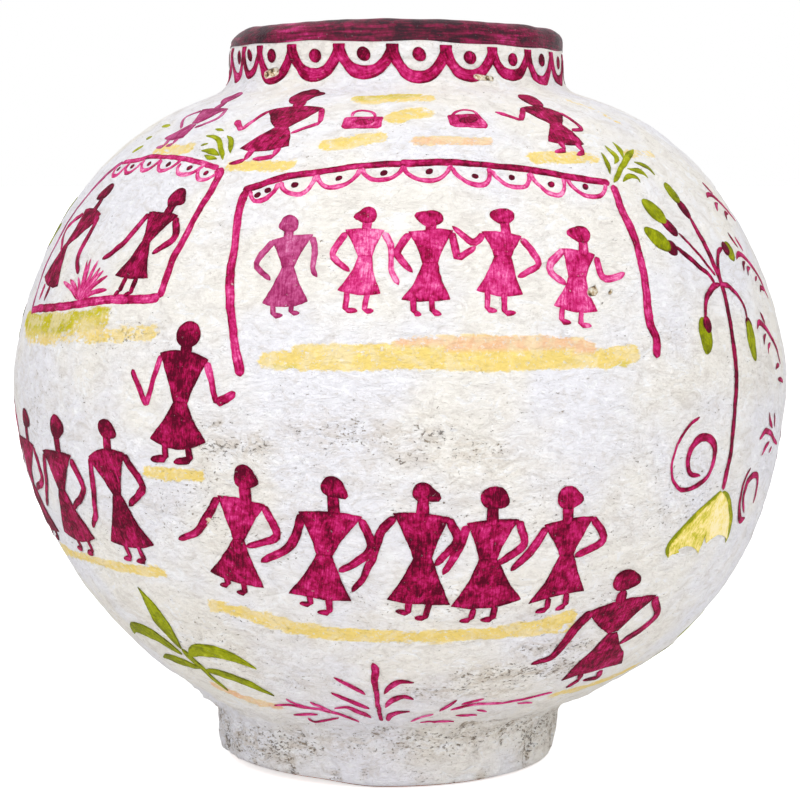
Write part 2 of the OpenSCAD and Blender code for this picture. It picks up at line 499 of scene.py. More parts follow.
@dataclass(frozen=True)
class ClayFinish(Finish):
    """Fired clay, bare or smeared."""

    dark: Colour = paint_colour(138, 74, 48)
    light: Colour = paint_colour(201, 134, 96)
    banding: float = 0.5
    depth: float = 0.0006

    def material(self) -> bpy.types.Material:
        """Make the clay's material.

        Returns:
            The material.
        """
        material, shading, body = self.start()
        clay = CLAY.use(shading, Banding=self.banding)
        middle = tuple((a + b) / 2 for a, b in zip(self.dark, self.light))
        colour = shading.ramp(clay.outputs["Tone"], (self.dark, middle, self.light))
        link = shading.tree.links.new
        link(colour, body.inputs["Base Color"])
        link(shading.span(clay.outputs["Tone"], 0, 1, 0.8, 0.95), body.inputs["Roughness"])
        body.inputs["Specular IOR Level"].default_value = 0.25
        self.relief(shading, body, clay.outputs["Height"], self.depth, 0.8)
        return material


class Pigment(Enum):
    """The paints on the jar, each with its finish."""

    MAGENTA = PaintFinish("magenta_paint", stops=(
        paint_colour(236, 152, 192), paint_colour(216, 76, 144), paint_colour(188, 30, 102),
        paint_colour(146, 6, 60), paint_colour(82, 0, 30)))
    MAUVE = PaintFinish("mauve_paint", stops=(
        paint_colour(218, 150, 186), paint_colour(190, 86, 138), paint_colour(156, 44, 98),
        paint_colour(106, 20, 60)))
    GREEN = PaintFinish("leaf_green_paint", stops=(
        paint_colour(200, 202, 70), paint_colour(160, 166, 16), paint_colour(132, 140, 0),
        paint_colour(92, 94, 8)))
    STRAW = PaintFinish("straw_yellow_paint", stops=(
        paint_colour(247, 232, 186), paint_colour(240, 220, 130), paint_colour(194, 184, 40),
        paint_colour(126, 134, 12)), roughness=0.6)
    LIP = PaintFinish("lip_maroon_paint", stops=(
        paint_colour(188, 44, 116), paint_colour(146, 14, 74), paint_colour(114, 6, 52),
        paint_colour(82, 2, 36), paint_colour(44, 2, 24)), roughness=0.34, gloss=0.22,
        streak=0.34, strength=0.6)


class Stain(Enum):
    """What is rubbed into the white ground, by its place on the tint ramp."""

    LEMON = 0.0
    GOLD = 0.25
    YELLOW = 0.5
    ORANGE = 1.0
    SOIL = -1.0
    CHIP = -2.0


class Tip(Enum):
    """How a brush stroke ends: the reach of its taper in widths, and its sharpness."""

    ROUND = (0.5, 0.5)
    SOFT = (1.3, 0.6)
    POINT = (2.6, 0.8)


@dataclass(frozen=True)
class HandMade:
    """How far the real jar strays from a true turned form, in metres."""

    foot_shift: float = -5.4 * MM
    bowl_shift: float = 2.0 * MM
    neck_shift: float = -2.0 * MM
    lip_tilt: float = -0.02
    lip_sag: float = 0.035
    lip_pinch: float = 1.2 * MM
    lip_wear: float = 1.2 * MM
    neck_squeeze: float = 1.4 * MM
    waist_pinch: float = 4.0 * MM
    foot_lift: float = 2.1 * MM

    def bend(self, point: Vector) -> Vector:
        """Move a point of the turned form to where the hand-made one has it.

        Args:
            point: a point on or in the true form.

        Returns:
            The moved point.
        """
        height = point.z / MM
        shift = self.foot_shift * (1 - ease(18, 52, height))
        shift += self.bowl_shift * ease(36, 60, height) * (1 - ease(90, 140, height))
        shift += self.neck_shift * ease(285, 306, height)
        leftward = max(-point.x / MM, 0.0)
        shift += (self.waist_pinch * ease(28, 37, height) * (1 - ease(37, 52, height))
                  * ease(60, 92, leftward))
        shift += self.lip_pinch * ease(316, 328, height) * ease(30, 77, leftward)
        lift = self.lip_tilt * point.x * ease(296, 325, height)
        lift -= self.lip_sag * leftward * MM * ease(318, 330, height)
        radius = math.hypot(point.x, point.y)
        corner = ease(69, 76, radius / MM) * ease(322, 331, height)
        rubbed = 0.2 + 0.8 * ease(-10, 45, leftward) + ease(56, 76, leftward)
        lift -= self.lip_wear * corner * rubbed * (1 + 0.7 * noise.noise(point * 40))
        lift += (self.foot_lift * (1 - ease(2, 16, height)) * ease(4, 34, leftward)
                 * ease(0, 25, -point.y / MM))
        narrow = 1 - self.neck_squeeze * ease(300, 309, height) / max(radius, 30 * MM)
        return Vector((point.x * narrow + shift, point.y * narrow, point.z + lift))


HAND = HandMade()


def welded(node: str) -> bmesh.types.BMesh:
    """Copy a CAD node's mesh and merge its loose triangles.

    Args:
        node: the CAD node's name.

    Returns:
        The merged copy.
    """
    mesh = bmesh.new()
    mesh.from_mesh(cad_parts[node].data)
    bmesh.ops.remove_doubles(mesh, verts=mesh.verts, dist=WELD)
    return mesh


def section(node: str) -> bmesh.types.BMesh:
    """Cut a CAD node lengthwise and keep the line of the cut on the +X side.

    Args:
        node: the CAD node's name.

    Returns:
        A mesh of edges only.
    """
    mesh = welded(node)
    geometry = mesh.verts[:] + mesh.edges[:] + mesh.faces[:]
    bmesh.ops.bisect_plane(mesh, geom=geometry, dist=WELD, plane_co=(0, 0, 0),
                           plane_no=(0, 1, 0), clear_inner=True, clear_outer=True)
    bmesh.ops.delete(mesh, geom=[v for v in mesh.verts if v.co.x < -WELD], context="VERTS")
    bmesh.ops.remove_doubles(mesh, verts=mesh.verts, dist=10 * WELD)
    return mesh


def refine(mesh: bmesh.types.BMesh, edges: Sequence[bmesh.types.BMEdge], longest: float) -> None:
    """Divide edges evenly until none is longer than a length.

    Args:
        mesh: the mesh that holds them.
        edges: the edges to divide.
        longest: the greatest length left, in metres.
    """
    by_cuts: dict[int, list[bmesh.types.BMEdge]] = {}
    for edge in edges:
        cuts = math.ceil(edge.calc_length() / longest) - 1
        if cuts > 0:
            by_cuts.setdefault(cuts, []).append(edge)
    for cuts, group in by_cuts.items():
        bmesh.ops.subdivide_edges(mesh, edges=group, cuts=cuts)


def turn_round(mesh: bmesh.types.BMesh, steps: int) -> None:
    """Turn a line of edges round the jar's axis into a closed form.

    Args:
        mesh: the line, which becomes the form.
        steps: how many steps make the full turn.
    """
    bmesh.ops.spin(mesh, geom=mesh.verts[:] + mesh.edges[:], cent=(0, 0, 0), axis=(0, 0, 1),
                   dvec=(0, 0, 0), angle=math.tau, steps=steps, use_merge=True,
                   use_duplicate=False)
    bmesh.ops.remove_doubles(mesh, verts=mesh.verts, dist=10 * WELD)
    bmesh.ops.recalc_face_normals(mesh, faces=mesh.faces)


def outer_edges(mesh: bmesh.types.BMesh) -> list[bmesh.types.BMEdge]:
    """Follow the outside of the white coat's section, from its top corner down to its lowest point.

    Args:
        mesh: the section of the coat.

    Returns:
        The edges on the way, in order.
    """
    top = max(v.co.z for v in mesh.verts)
    here = max((v for v in mesh.verts if v.co.z > top - 0.1 * MM), key=lambda v: v.co.x)
    lowest = min(mesh.verts, key=lambda v: v.co.z)
    step = min(here.link_edges, key=lambda edge: edge.other_vert(here).co.z)
    path = [step]
    here = step.other_vert(here)
    while here is not lowest:
        step = next(edge for edge in here.link_edges if edge is not step)
        path.append(step)
        here = step.other_vert(here)
    return path


class Outline:
    """The coat's outside as a line, measured along its length from the foot up to the lip."""

    def __init__(self, node: str) -> None:
        """Read the line off a CAD node.

        Args:
            node: the name of the coat's node.
        """
        mesh = section(node)
        edges = outer_edges(mesh)
        points = [min(edges[-1].verts, key=lambda v: v.co.z).co.copy()]
        for edge in reversed(edges):
            ends = sorted((v.co for v in edge.verts), key=lambda co: (co - points[-1]).length)
            points.append(ends[1].copy())
        mesh.free()
        self.radii = numpy.array([p.x for p in points])
        self.heights = numpy.array([p.z for p in points])
        steps = numpy.hypot(numpy.diff(self.radii), numpy.diff(self.heights))
        self.lengths = numpy.concatenate(([0.0], numpy.cumsum(steps)))

    def at(self, length: float) -> Point:
        """Give the radius and height at a length along the line."""
        return (float(numpy.interp(length, self.lengths, self.radii)),
                float(numpy.interp(length, self.lengths, self.heights)))

    def length_at(self, height: float) -> float:
        """Give the length along the line at a height."""
        return float(numpy.interp(height, self.heights, self.lengths))

    def normal(self, length: float) -> Point:
        """Give the outward direction, as outwards and up, smoothed over a few millimetres.

        Args:
            length: where on the line, in metres.

        Returns:
            Its outward and upward parts.
        """
        reach = 1.5 * MM
        radius, height = self.at(length + reach)
        low_radius, low_height = self.at(length - reach)
        along = Vector((radius - low_radius, height - low_height)).normalized()
        return along.y, -along.x


OUTLINE = Outline("white_ground")


@dataclass(frozen=True)
class Chart:
    """A place on the jar that ornament is laid out from, in millimetres across and up.

    The azimuth is in degrees from the front, growing to the right, and the height is above the
    table. The pivot is the drawn point that lies at the place, and a mirrored chart runs left.
    """

    azimuth: float
    height: float
    pivot: Point = (0.0, 0.0)
    mirrored: bool = False

    def turned(self, by: float, mirrored: bool, raised: float) -> "Chart":
        """Carry the place round the jar.

        Args:
            by: how far it goes round, in degrees.
            mirrored: whether its drawing is turned left to right as well.
            raised: how far it goes up, in millimetres.

        Returns:
            The new place.
        """
        azimuth = by - self.azimuth if mirrored else by + self.azimuth
        return Chart(azimuth, self.height + raised, self.pivot, self.mirrored != mirrored)

    def on(self, across: float, up: float) -> Point:
        """Turn a drawn point into an angle round the jar and a length up its side.

        Args:
            across: millimetres to the right.
            up: millimetres up the side.

        Returns:
            The angle in radians and the length in metres.
        """
        side = -1 if self.mirrored else 1
        length = OUTLINE.length_at(self.height * MM) + (up - self.pivot[1]) * MM
        radius, _ = OUTLINE.at(length)
        return (math.radians(self.azimuth) + side * (across - self.pivot[0]) * MM / radius, length)


def on_form(angle: float, length: float, proud: float) -> Vector:
    """Give a point on the true form.

    Args:
        angle: the angle from the front, in radians.
        length: the length up the side, in metres.
        proud: how far outside the form, in metres.

    Returns:
        The point, before the hand-made form bends it.
    """
    radius, height = OUTLINE.at(length)
    outward, upward = OUTLINE.normal(length)
    radius += outward * proud
    return Vector((radius * math.sin(angle), -radius * math.cos(angle), height + upward * proud))


@dataclass(frozen=True)
class Smear:
    """A soft patch in the white ground: a line of a varying width, rubbed with a stain."""

    stain: Stain
    chart: Chart
    line: tuple[Point, ...]
    width: float
    strength: float = 1.0
    softness: float = 0.45

    def share(self, angles: numpy.ndarray, lengths: numpy.ndarray,
              radii: numpy.ndarray) -> numpy.ndarray:
        """Say how strongly the stain lies at many points of the coat.

        Args:
            angles: their angles from the front.
            lengths: their lengths up the side.
            radii: their distances from the axis.

        Returns:
            A number from 0 to the smear's strength for each.
        """
        side = -1 if self.chart.mirrored else 1
        turn = numpy.mod(angles - math.radians(self.chart.azimuth) + math.pi, math.tau) - math.pi
        across = side * turn * radii / MM + self.chart.pivot[0]
        start = OUTLINE.length_at(self.chart.height * MM)
        up = (lengths - start) / MM + self.chart.pivot[1]
        best = numpy.full(len(angles), 1e9)
        pairs = list(zip(self.line, self.line[1:])) or [(self.line[0], self.line[0])]
        for (u0, v0), (u1, v1) in pairs:
            du, dv = u1 - u0, v1 - v0
            span = max(du * du + dv * dv, 1e-9)
            t = numpy.clip(((across - u0) * du + (up - v0) * dv) / span, 0, 1)
            best = numpy.minimum(best, numpy.hypot(across - u0 - t * du, up - v0 - t * dv))
        reach = self.width / 2
        t = numpy.clip((reach - best) / (reach * self.softness), 0, 1)
        return self.strength * t * t * (3 - 2 * t)


def new_piece(mesh: bmesh.types.BMesh, name: str, materials: Sequence[bpy.types.Material],
              replaced: Sequence[str] = (), crease: float = 0.7) -> bpy.types.Object:
    """Make an object of a finished mesh, dress it and let it ride on the jar.

    Args:
        mesh: the finished mesh, which is used up.
        name: the piece's name.
        materials: its materials, in the order of its faces' indices.
        replaced: the CAD nodes that it stands for.
        crease: the angle in radians from which an edge stays sharp.

    Returns:
        The new object.
    """
    for face in mesh.faces:
        face.smooth = True
    for edge in mesh.edges:
        if len(edge.link_faces) == 2 and edge.calc_face_angle() > crease:
            edge.smooth = False
    data = bpy.data.meshes.new(name)
    mesh.to_mesh(data)
    mesh.free()
    for material in materials:
        data.materials.append(material)
    piece = bpy.data.objects.new(name, data)
    bpy.context.scene.collection.objects.link(piece)
    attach(piece, "root")
    if replaced:
        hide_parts(*replaced)
    LOG.info("%s: %d faces", name, len(data.polygons))
    return piece


@dataclass
class ClayBody:
    """The thrown sections and slip coils, turned from their CAD sections with marks of the hand."""

    steps: int = 180
    row: float = 2.6 * MM
    ridge_pitch: float = 7.5
    ridge_depth: float = 0.35 * MM
    thrown: tuple[str, ...] = ("foot_ring", "lower_bowl", "shoulder_dome", "neck_collar",
                               "lip_roll")
    coils: tuple[str, ...] = ("foot_joint_coil", "foot_joint_inner_coil", "belly_joint_coil",
                              "neck_joint_coil", "neck_joint_inner_coil")

    def marks(self, point: Vector, smeared: bool) -> float:
        """Give the depth of the maker's marks at a point.

        Args:
            point: a point of the form.
            smeared: whether fingers smeared it, or it was thrown.

        Returns:
            How far it stands in from the form, in metres.
        """
        angle = math.atan2(point.x, -point.y)
        if smeared:
            dabs = noise.noise(Vector((angle * 9, point.z * 90, 3.0)))
            return 0.6 * self.ridge_depth * (1 + dabs)
        phase = math.tau * (point.z / MM / self.ridge_pitch) + angle
        uneven = noise.noise(point * 24)
        return self.ridge_depth * (0.5 + 0.35 * math.sin(phase) + 0.4 * uneven)

    def turned(self, node: str, finish: bpy.types.Material, slot: str, smeared: bool) -> None:
        """Turn one piece of clay from its CAD node's section.

        Args:
            node: the CAD node that it replaces.
            finish: its material.
            slot: its material slot; not used.
            smeared: whether it is a smeared coil.
        """
        mesh = section(node)
        refine(mesh, mesh.edges[:], self.row)
        turn_round(mesh, self.steps)
        for vertex in mesh.verts:
            away = vertex.normal * self.marks(vertex.co, smeared)
            if vertex.co.z > 1 * MM:
                vertex.co -= away
            vertex.co = HAND.bend(vertex.co)
        new_piece(mesh, node + "_clay", [finish], [node])

    def build(self) -> None:
        """Make every piece of clay."""
        bare = ClayFinish("fired_terracotta", banding=0.8).material()
        slip = ClayFinish("smeared_slip", dark=paint_colour(160, 96, 64),
                          light=paint_colour(214, 154, 116), banding=0.3).material()
        for node in self.thrown:
            self.turned(node, bare, "terracotta", False)
        for node in self.coils:
            self.turned(node, slip, "slip_clay", True)


@dataclass
class WhiteCoat:
    """The thick white ground over foot, body and neck, which all the ornament is painted on."""

    steps: int = 430
    outer_row: float = 2.45 * MM
    inner_row: float = 30 * MM
    lap: float = 3.0 * MM
    lap_in: float = 0.3 * MM
    broad: float = 0.75 * MM
    middle: float = 0.4 * MM
    pulp: float = 0.26 * MM
    foot_gain: float = 3.4
    foot_lump: float = 1.5 * MM
    foot_height: float = 36 * MM
    crease: float = 0.9 * MM
    grit: float = 0.5 * MM
    edge_fade: float = 3 * MM
    smears: list[Smear] = field(default_factory=list)
    tree: BVHTree | None = None

    def lumps(self, point: Vector, length: float) -> float:
        """Give how far the coat stands proud of the true form at a point.

        Args:
            point: the point on the form.
            length: its length up the side.

        Returns:
            The height of the lumps, in metres.
        """
        whole = float(OUTLINE.lengths[-1])
        fade = ease(0, self.edge_fade, length) * ease(0, self.edge_fade, whole - length)
        gain = 1 + (self.foot_gain - 1) * (1 - ease(30 * MM, 70 * MM, length))
        tall = Vector((point.x, point.y, point.z * (0.45 if length < 32 * MM else 1.0)))
        height = self.broad * noise.noise(point * 15)
        height += self.middle * gain * noise.noise(tall * 62 + Vector((7, 3, 1)))
        height += self.pulp * gain * noise.noise(tall * 165)
        height += 0.6 * self.pulp * gain * abs(noise.noise(tall * 240 + Vector((1, 9, 4))))
        if point.z < 34 * MM:
            height += self.foot_lump * ease(30 * MM, 72 * MM, -point.x) * (
                1 - ease(14 * MM, 26 * MM, point.z))
            height += self.grit * noise.noise(tall * 380)
            height -= self.crease * self.crevice(point) * (1 - ease(26 * MM, 34 * MM, point.z))
        return fade * height

    @staticmethod
    def crevice(point: Vector) -> float:
        """Say how deep a point of the foot lies in the upright creases between its lumps."""
        upright = Vector((point.x, point.y, point.z * 0.4))
        return ease(0.02, 0.4, -noise.noise(upright * 110 + Vector((4, 2, 6))))

    def build(self) -> None:
        """Turn the coat, raise its lumps, rub in its stains and keep its surface for the brush."""
        mesh = section("white_ground")
        side = mesh.verts.layers.float.new("side")
        outer = outer_edges(mesh)
        for edge in outer:
            for vertex in edge.verts:
                vertex[side] = 1.0
        inner = [edge for edge in mesh.edges if edge not in set(outer)]
        refine(mesh, inner, self.inner_row)
        spare = [v for v in mesh.verts if v[side] < 0.5 and len(v.link_edges) == 2
                 and v.link_edges[0].calc_length() < self.inner_row / 3
                 and abs(v.calc_edge_angle()) < 0.12]
        bmesh.ops.dissolve_verts(mesh, verts=[v for i, v in enumerate(spare) if i % 3])
        refine(mesh, outer, self.outer_row)
        turn_round(mesh, self.steps)
        names = ("wash", "hue", "soil", "chip")
        layers = {name: mesh.verts.layers.float.new(name) for name in names}
        side = mesh.verts.layers.float["side"]
        outside = [v for v in mesh.verts if v[side] > 0.99]
        top = OUTLINE.heights[-1]
        angles = numpy.array([math.atan2(v.co.x, -v.co.y) for v in outside])
        heights = numpy.array([v.co.z for v in outside])
        lengths = numpy.interp(heights, OUTLINE.heights, OUTLINE.lengths)
        stains = self.stains(angles, lengths)
        for index, vertex in enumerate(outside):
            length = float(lengths[index])
            angle = float(angles[index])
            proud = self.lumps(vertex.co, length) - 0.5 * MM * stains["chip"][index]
            outward, upward = OUTLINE.normal(length)
            vertex.co += Vector((outward * math.sin(angle), -outward * math.cos(angle),
                                 upward)) * proud
            for name in names:
                vertex[layers[name]] = float(stains[name][index])
            # the foot's upright creases get a raised soil value, so they come out darker with the soil tint
            if length < self.foot_height:
                vertex[layers["soil"]] = max(vertex[layers["soil"]],
                                             self.crevice(vertex.co) * 1.1)
        for vertex in mesh.verts:
            if vertex.co.z > top - 0.3 * MM:
                vertex.co.z += self.lap
                shrink = 1 - self.lap_in / math.hypot(vertex.co.x, vertex.co.y)
                vertex.co.x *= shrink
                vertex.co.y *= shrink
            vertex.co = HAND.bend(vertex.co)
        mesh.verts.layers.float.remove(mesh.verts.layers.float["side"])
        self.tree = BVHTree.FromBMesh(mesh)
        chalk = ChalkFinish("chalk_white_ground").material()
        new_piece(mesh, "white_coat", [chalk], ["white_ground"], crease=1.2)

    def stains(self, angles: numpy.ndarray, lengths: numpy.ndarray) -> dict[str, numpy.ndarray]:
        """Gather every smear into one value of each kind for every point.

        Args:
            angles: the points' angles from the front.
            lengths: their lengths up the side.

        Returns:
            The wash, its hue, the soil and the chips.
        """
        radii = numpy.interp(lengths, OUTLINE.lengths, OUTLINE.radii)
        shares = {name: numpy.zeros(len(angles)) for name in ("wash", "soil", "chip")}
        shares["hue"] = numpy.full(len(angles), Stain.YELLOW.value)
        for smear in self.smears:
            share = smear.share(angles, lengths, radii)
            kind = {Stain.SOIL: "soil", Stain.CHIP: "chip"}.get(smear.stain, "wash")
            stronger = share > shares[kind]
            shares[kind] = numpy.where(stronger, share, shares[kind])
            if kind == "wash":
                shares["hue"] = numpy.where(stronger, smear.stain.value, shares["hue"])
        return shares

    def chipped(self, angle: float, length: float) -> float:
        """Say how far the coat is chipped away at one point."""
        radius, _ = OUTLINE.at(length)
        where = (numpy.array([angle]), numpy.array([length]), numpy.array([radius]))
        chips = [smear for smear in self.smears if smear.stain is Stain.CHIP]
        return max((float(smear.share(*where)[0]) for smear in chips), default=0.0)

    def touch(self, angle: float, length: float, lift: float) -> Vector:
        """Find the point where a brush meets the coat.

        Args:
            angle: the angle from the front.
            length: the length up the side.
            lift: how far above the coat the point is wanted.

        Returns:
            The point.
        """
        far = HAND.bend(on_form(angle, length, 6 * MM))
        near = HAND.bend(on_form(angle, length, -6 * MM))
        towards = (near - far).normalized()
        hit = self.tree.ray_cast(far, towards)[0]
        if hit is None:
            hit = HAND.bend(on_form(angle, length, 0.0))
        return hit - towards * lift


@dataclass
class LipCoat:
    """The painted coat that wraps the lip, with a wavy lower edge."""

    steps: int = 400
    row: float = 1.1 * MM
    rise: float = 1.1 * MM
    wave: float = 0.6 * MM
    unevenness: float = 0.45 * MM

    def build(self) -> None:
        """Turn the lip's coat and paint it."""
        mesh = section("lip_paint")
        refine(mesh, mesh.edges[:], self.row)
        turn_round(mesh, self.steps)
        foot = min(v.co.z for v in mesh.verts)
        load = mesh.verts.layers.float.new("load")
        brush = mesh.verts.layers.float_vector.new("brush")
        for vertex in mesh.verts:
            point = vertex.co.copy()
            angle = math.atan2(point.x, -point.y)
            share = 1 - ease(foot, foot + 4 * MM, point.z)
            uneven = self.unevenness * noise.noise(point * 55)
            uneven += 0.5 * self.unevenness * noise.noise(point * 140)
            vertex.co += vertex.normal * uneven * (1 - share * 0.7)
            ripple = self.wave * noise.noise(Vector((angle * 3.1, 5.0, 0.0)))
            vertex.co.z += share * (self.rise + 2 * ripple)
            fade = noise.noise(Vector((angle * 2.2, 1.0, 7.0)))
            vertex[load] = 0.7 - 0.5 * max(0.0, fade) + 0.34 * noise.noise(point * 34)
            vertex[brush] = Vector((point.z / MM * 0.45, angle * 38.0, 2.0))
            vertex.co = HAND.bend(vertex.co)
        new_piece(mesh, "lip_coat", [Pigment.LIP.value.material()], ["lip_paint"],
                  crease=1.2)


class Curve:
    """A smooth line through a few drawn points, measured along its length."""

    samples = 14

    def __init__(self, points: Line) -> None:
        """Run the line through its points.

        Args:
            points: at least two points, in order.
        """
        ends = [Vector(p) for p in points]
        ghosts = [2 * ends[0] - ends[1]] + ends + [2 * ends[-1] - ends[-2]]
        track = [ends[0]]
        for before, start, end, after in zip(ghosts, ghosts[1:], ghosts[2:], ghosts[3:]):
            for index in range(1, self.samples + 1):
                t = index / self.samples
                track.append(0.5 * (2 * start + (end - before) * t
                                    + (2 * before - 5 * start + 4 * end - after) * t ** 2
                                    + (3 * start - before - 3 * end + after) * t ** 3))
        self.across = numpy.array([p.x for p in track])
        self.up = numpy.array([p.y for p in track])
        steps = numpy.hypot(numpy.diff(self.across), numpy.diff(self.up))
        self.marks = numpy.concatenate(([0.0], numpy.cumsum(steps)))
        self.length = float(self.marks[-1])

    def at(self, distance: float) -> Vector:
        """Give the point at a distance along the line."""
        return Vector((float(numpy.interp(distance, self.marks, self.across)),
                       float(numpy.interp(distance, self.marks, self.up))))

    def side(self, distance: float) -> Vector:
        """Give the direction across the line at a distance along it."""
        along = self.at(distance + 0.5) - self.at(distance - 0.5)
        along.normalize()
        return Vector((along.y, -along.x))


def stroke_shape(points: Line, widths: Sequence[float], tips: tuple[Tip, Tip]) -> tuple[
        Shape, float, float]:
    """Describe one stroke of the brush.

    Args:
        points: the line that the brush follows.
        widths: its width, evenly spaced along the line.
        tips: how it starts and ends.

    Returns:
        The stroke's shape, its greatest width and its length.
    """
    curve = Curve(points)
    places = numpy.linspace(0, curve.length, len(widths))

    def taper(distance: float, width: float, tip: Tip) -> float:
        """Give the share of the width that is left near an end."""
        reach = max(tip.value[0] * width, 1e-3)
        t = min(distance / reach, 1.0)
        return max(1 - (1 - t) ** 2, 0.03) ** tip.value[1]

    def shape(a: float, b: float) -> tuple[float, float, float, float, float]:
        """Map the unit square onto the stroke."""
        t = 0.5 + 0.5 * b
        t -= 0.3 * math.sin(math.tau * t) / math.tau
        distance = t * curve.length
        width = float(numpy.interp(distance, places, widths))
        left = distance
        right = curve.length - distance
        half = width / 2 * min(taper(left, width, tips[0]), taper(right, width, tips[1]))
        point = curve.at(distance) + curve.side(distance) * (a * half)
        margin = min((1 - abs(a)) * half, left + 0.2, right + 0.2)
        return point.x, point.y, margin, a * half, distance

    return shape, max(widths), curve.length


def patch_shape(left: Line, right: Line, bows: Point) -> tuple[Shape, float, float]:
    """Describe a patch that fills the space between two lines.

    Args:
        left: its left edge, from top to bottom.
        right: its right edge, from top to bottom.
        bows: how far its top and bottom edges bow upwards in their middles.

    Returns:
        The patch's shape, its greatest width and its length.
    """
    first, second = Curve(left), Curve(right)
    tops = (Vector(right[0]) - Vector(left[0])).length
    bottoms = (Vector(right[-1]) - Vector(left[-1])).length
    length = (first.length + second.length) / 2

    def shape(a: float, b: float) -> tuple[float, float, float, float, float]:
        """Map the unit square onto the patch."""
        t = 0.5 - 0.5 * b
        start, end = first.at(t * first.length), second.at(t * second.length)
        point = start.lerp(end, 0.5 + 0.5 * a)
        bow = (1 - a * a) * (bows[0] * (1 - t) ** 2 + bows[1] * t ** 2)
        width = (end - start).length
        margin = min((1 - abs(a)) * width / 2, t * length + 0.1, (1 - t) * length + 0.1)
        return point.x, point.y + bow, margin, a * width / 2, t * length

    return shape, max(tops, bottoms), length


def disc_shape(centre: Point, size: Point, tilt: float, beak: Point | None) -> tuple[
        Shape, float, float]:
    """Describe a round dab, which may be drawn out to a point on one side.

    Args:
        centre: its middle.
        size: its width and height.
        tilt: its turn, in degrees, anticlockwise.
        beak: the point that it is drawn out to, if any.

    Returns:
        The dab's shape, its width and its height.
    """
    middle = Vector(centre)
    turned = Matrix.Rotation(math.radians(tilt), 2)
    reach = Vector(beak) - middle if beak else Vector((1.0, 0.0))
    beak_angle = math.atan2(reach.y, reach.x)

    def shape(a: float, b: float) -> tuple[float, float, float, float, float]:
        """Map the unit square onto the dab."""
        x = a * math.sqrt(1 - b * b / 2)
        y = b * math.sqrt(1 - a * a / 2)
        share = math.hypot(x, y)
        point = Vector((x * size[0] / 2, y * size[1] / 2))
        point.rotate(turned)
        if beak and share > 0:
            off = math.atan2(point.y, point.x) - beak_angle
            off = (off + math.pi) % math.tau - math.pi
            edge = point.length / share
            drawn = max(reach.length / edge - 1, 0.0) * math.exp(-(off / 0.4) ** 2)
            point *= 1 + drawn * share ** 2
        margin = (1 - share) * min(size) / 2
        return middle.x + point.x, middle.y + point.y, margin, x * size[0] / 2, y * size[1] / 2

    return shape, size[0], size[1]


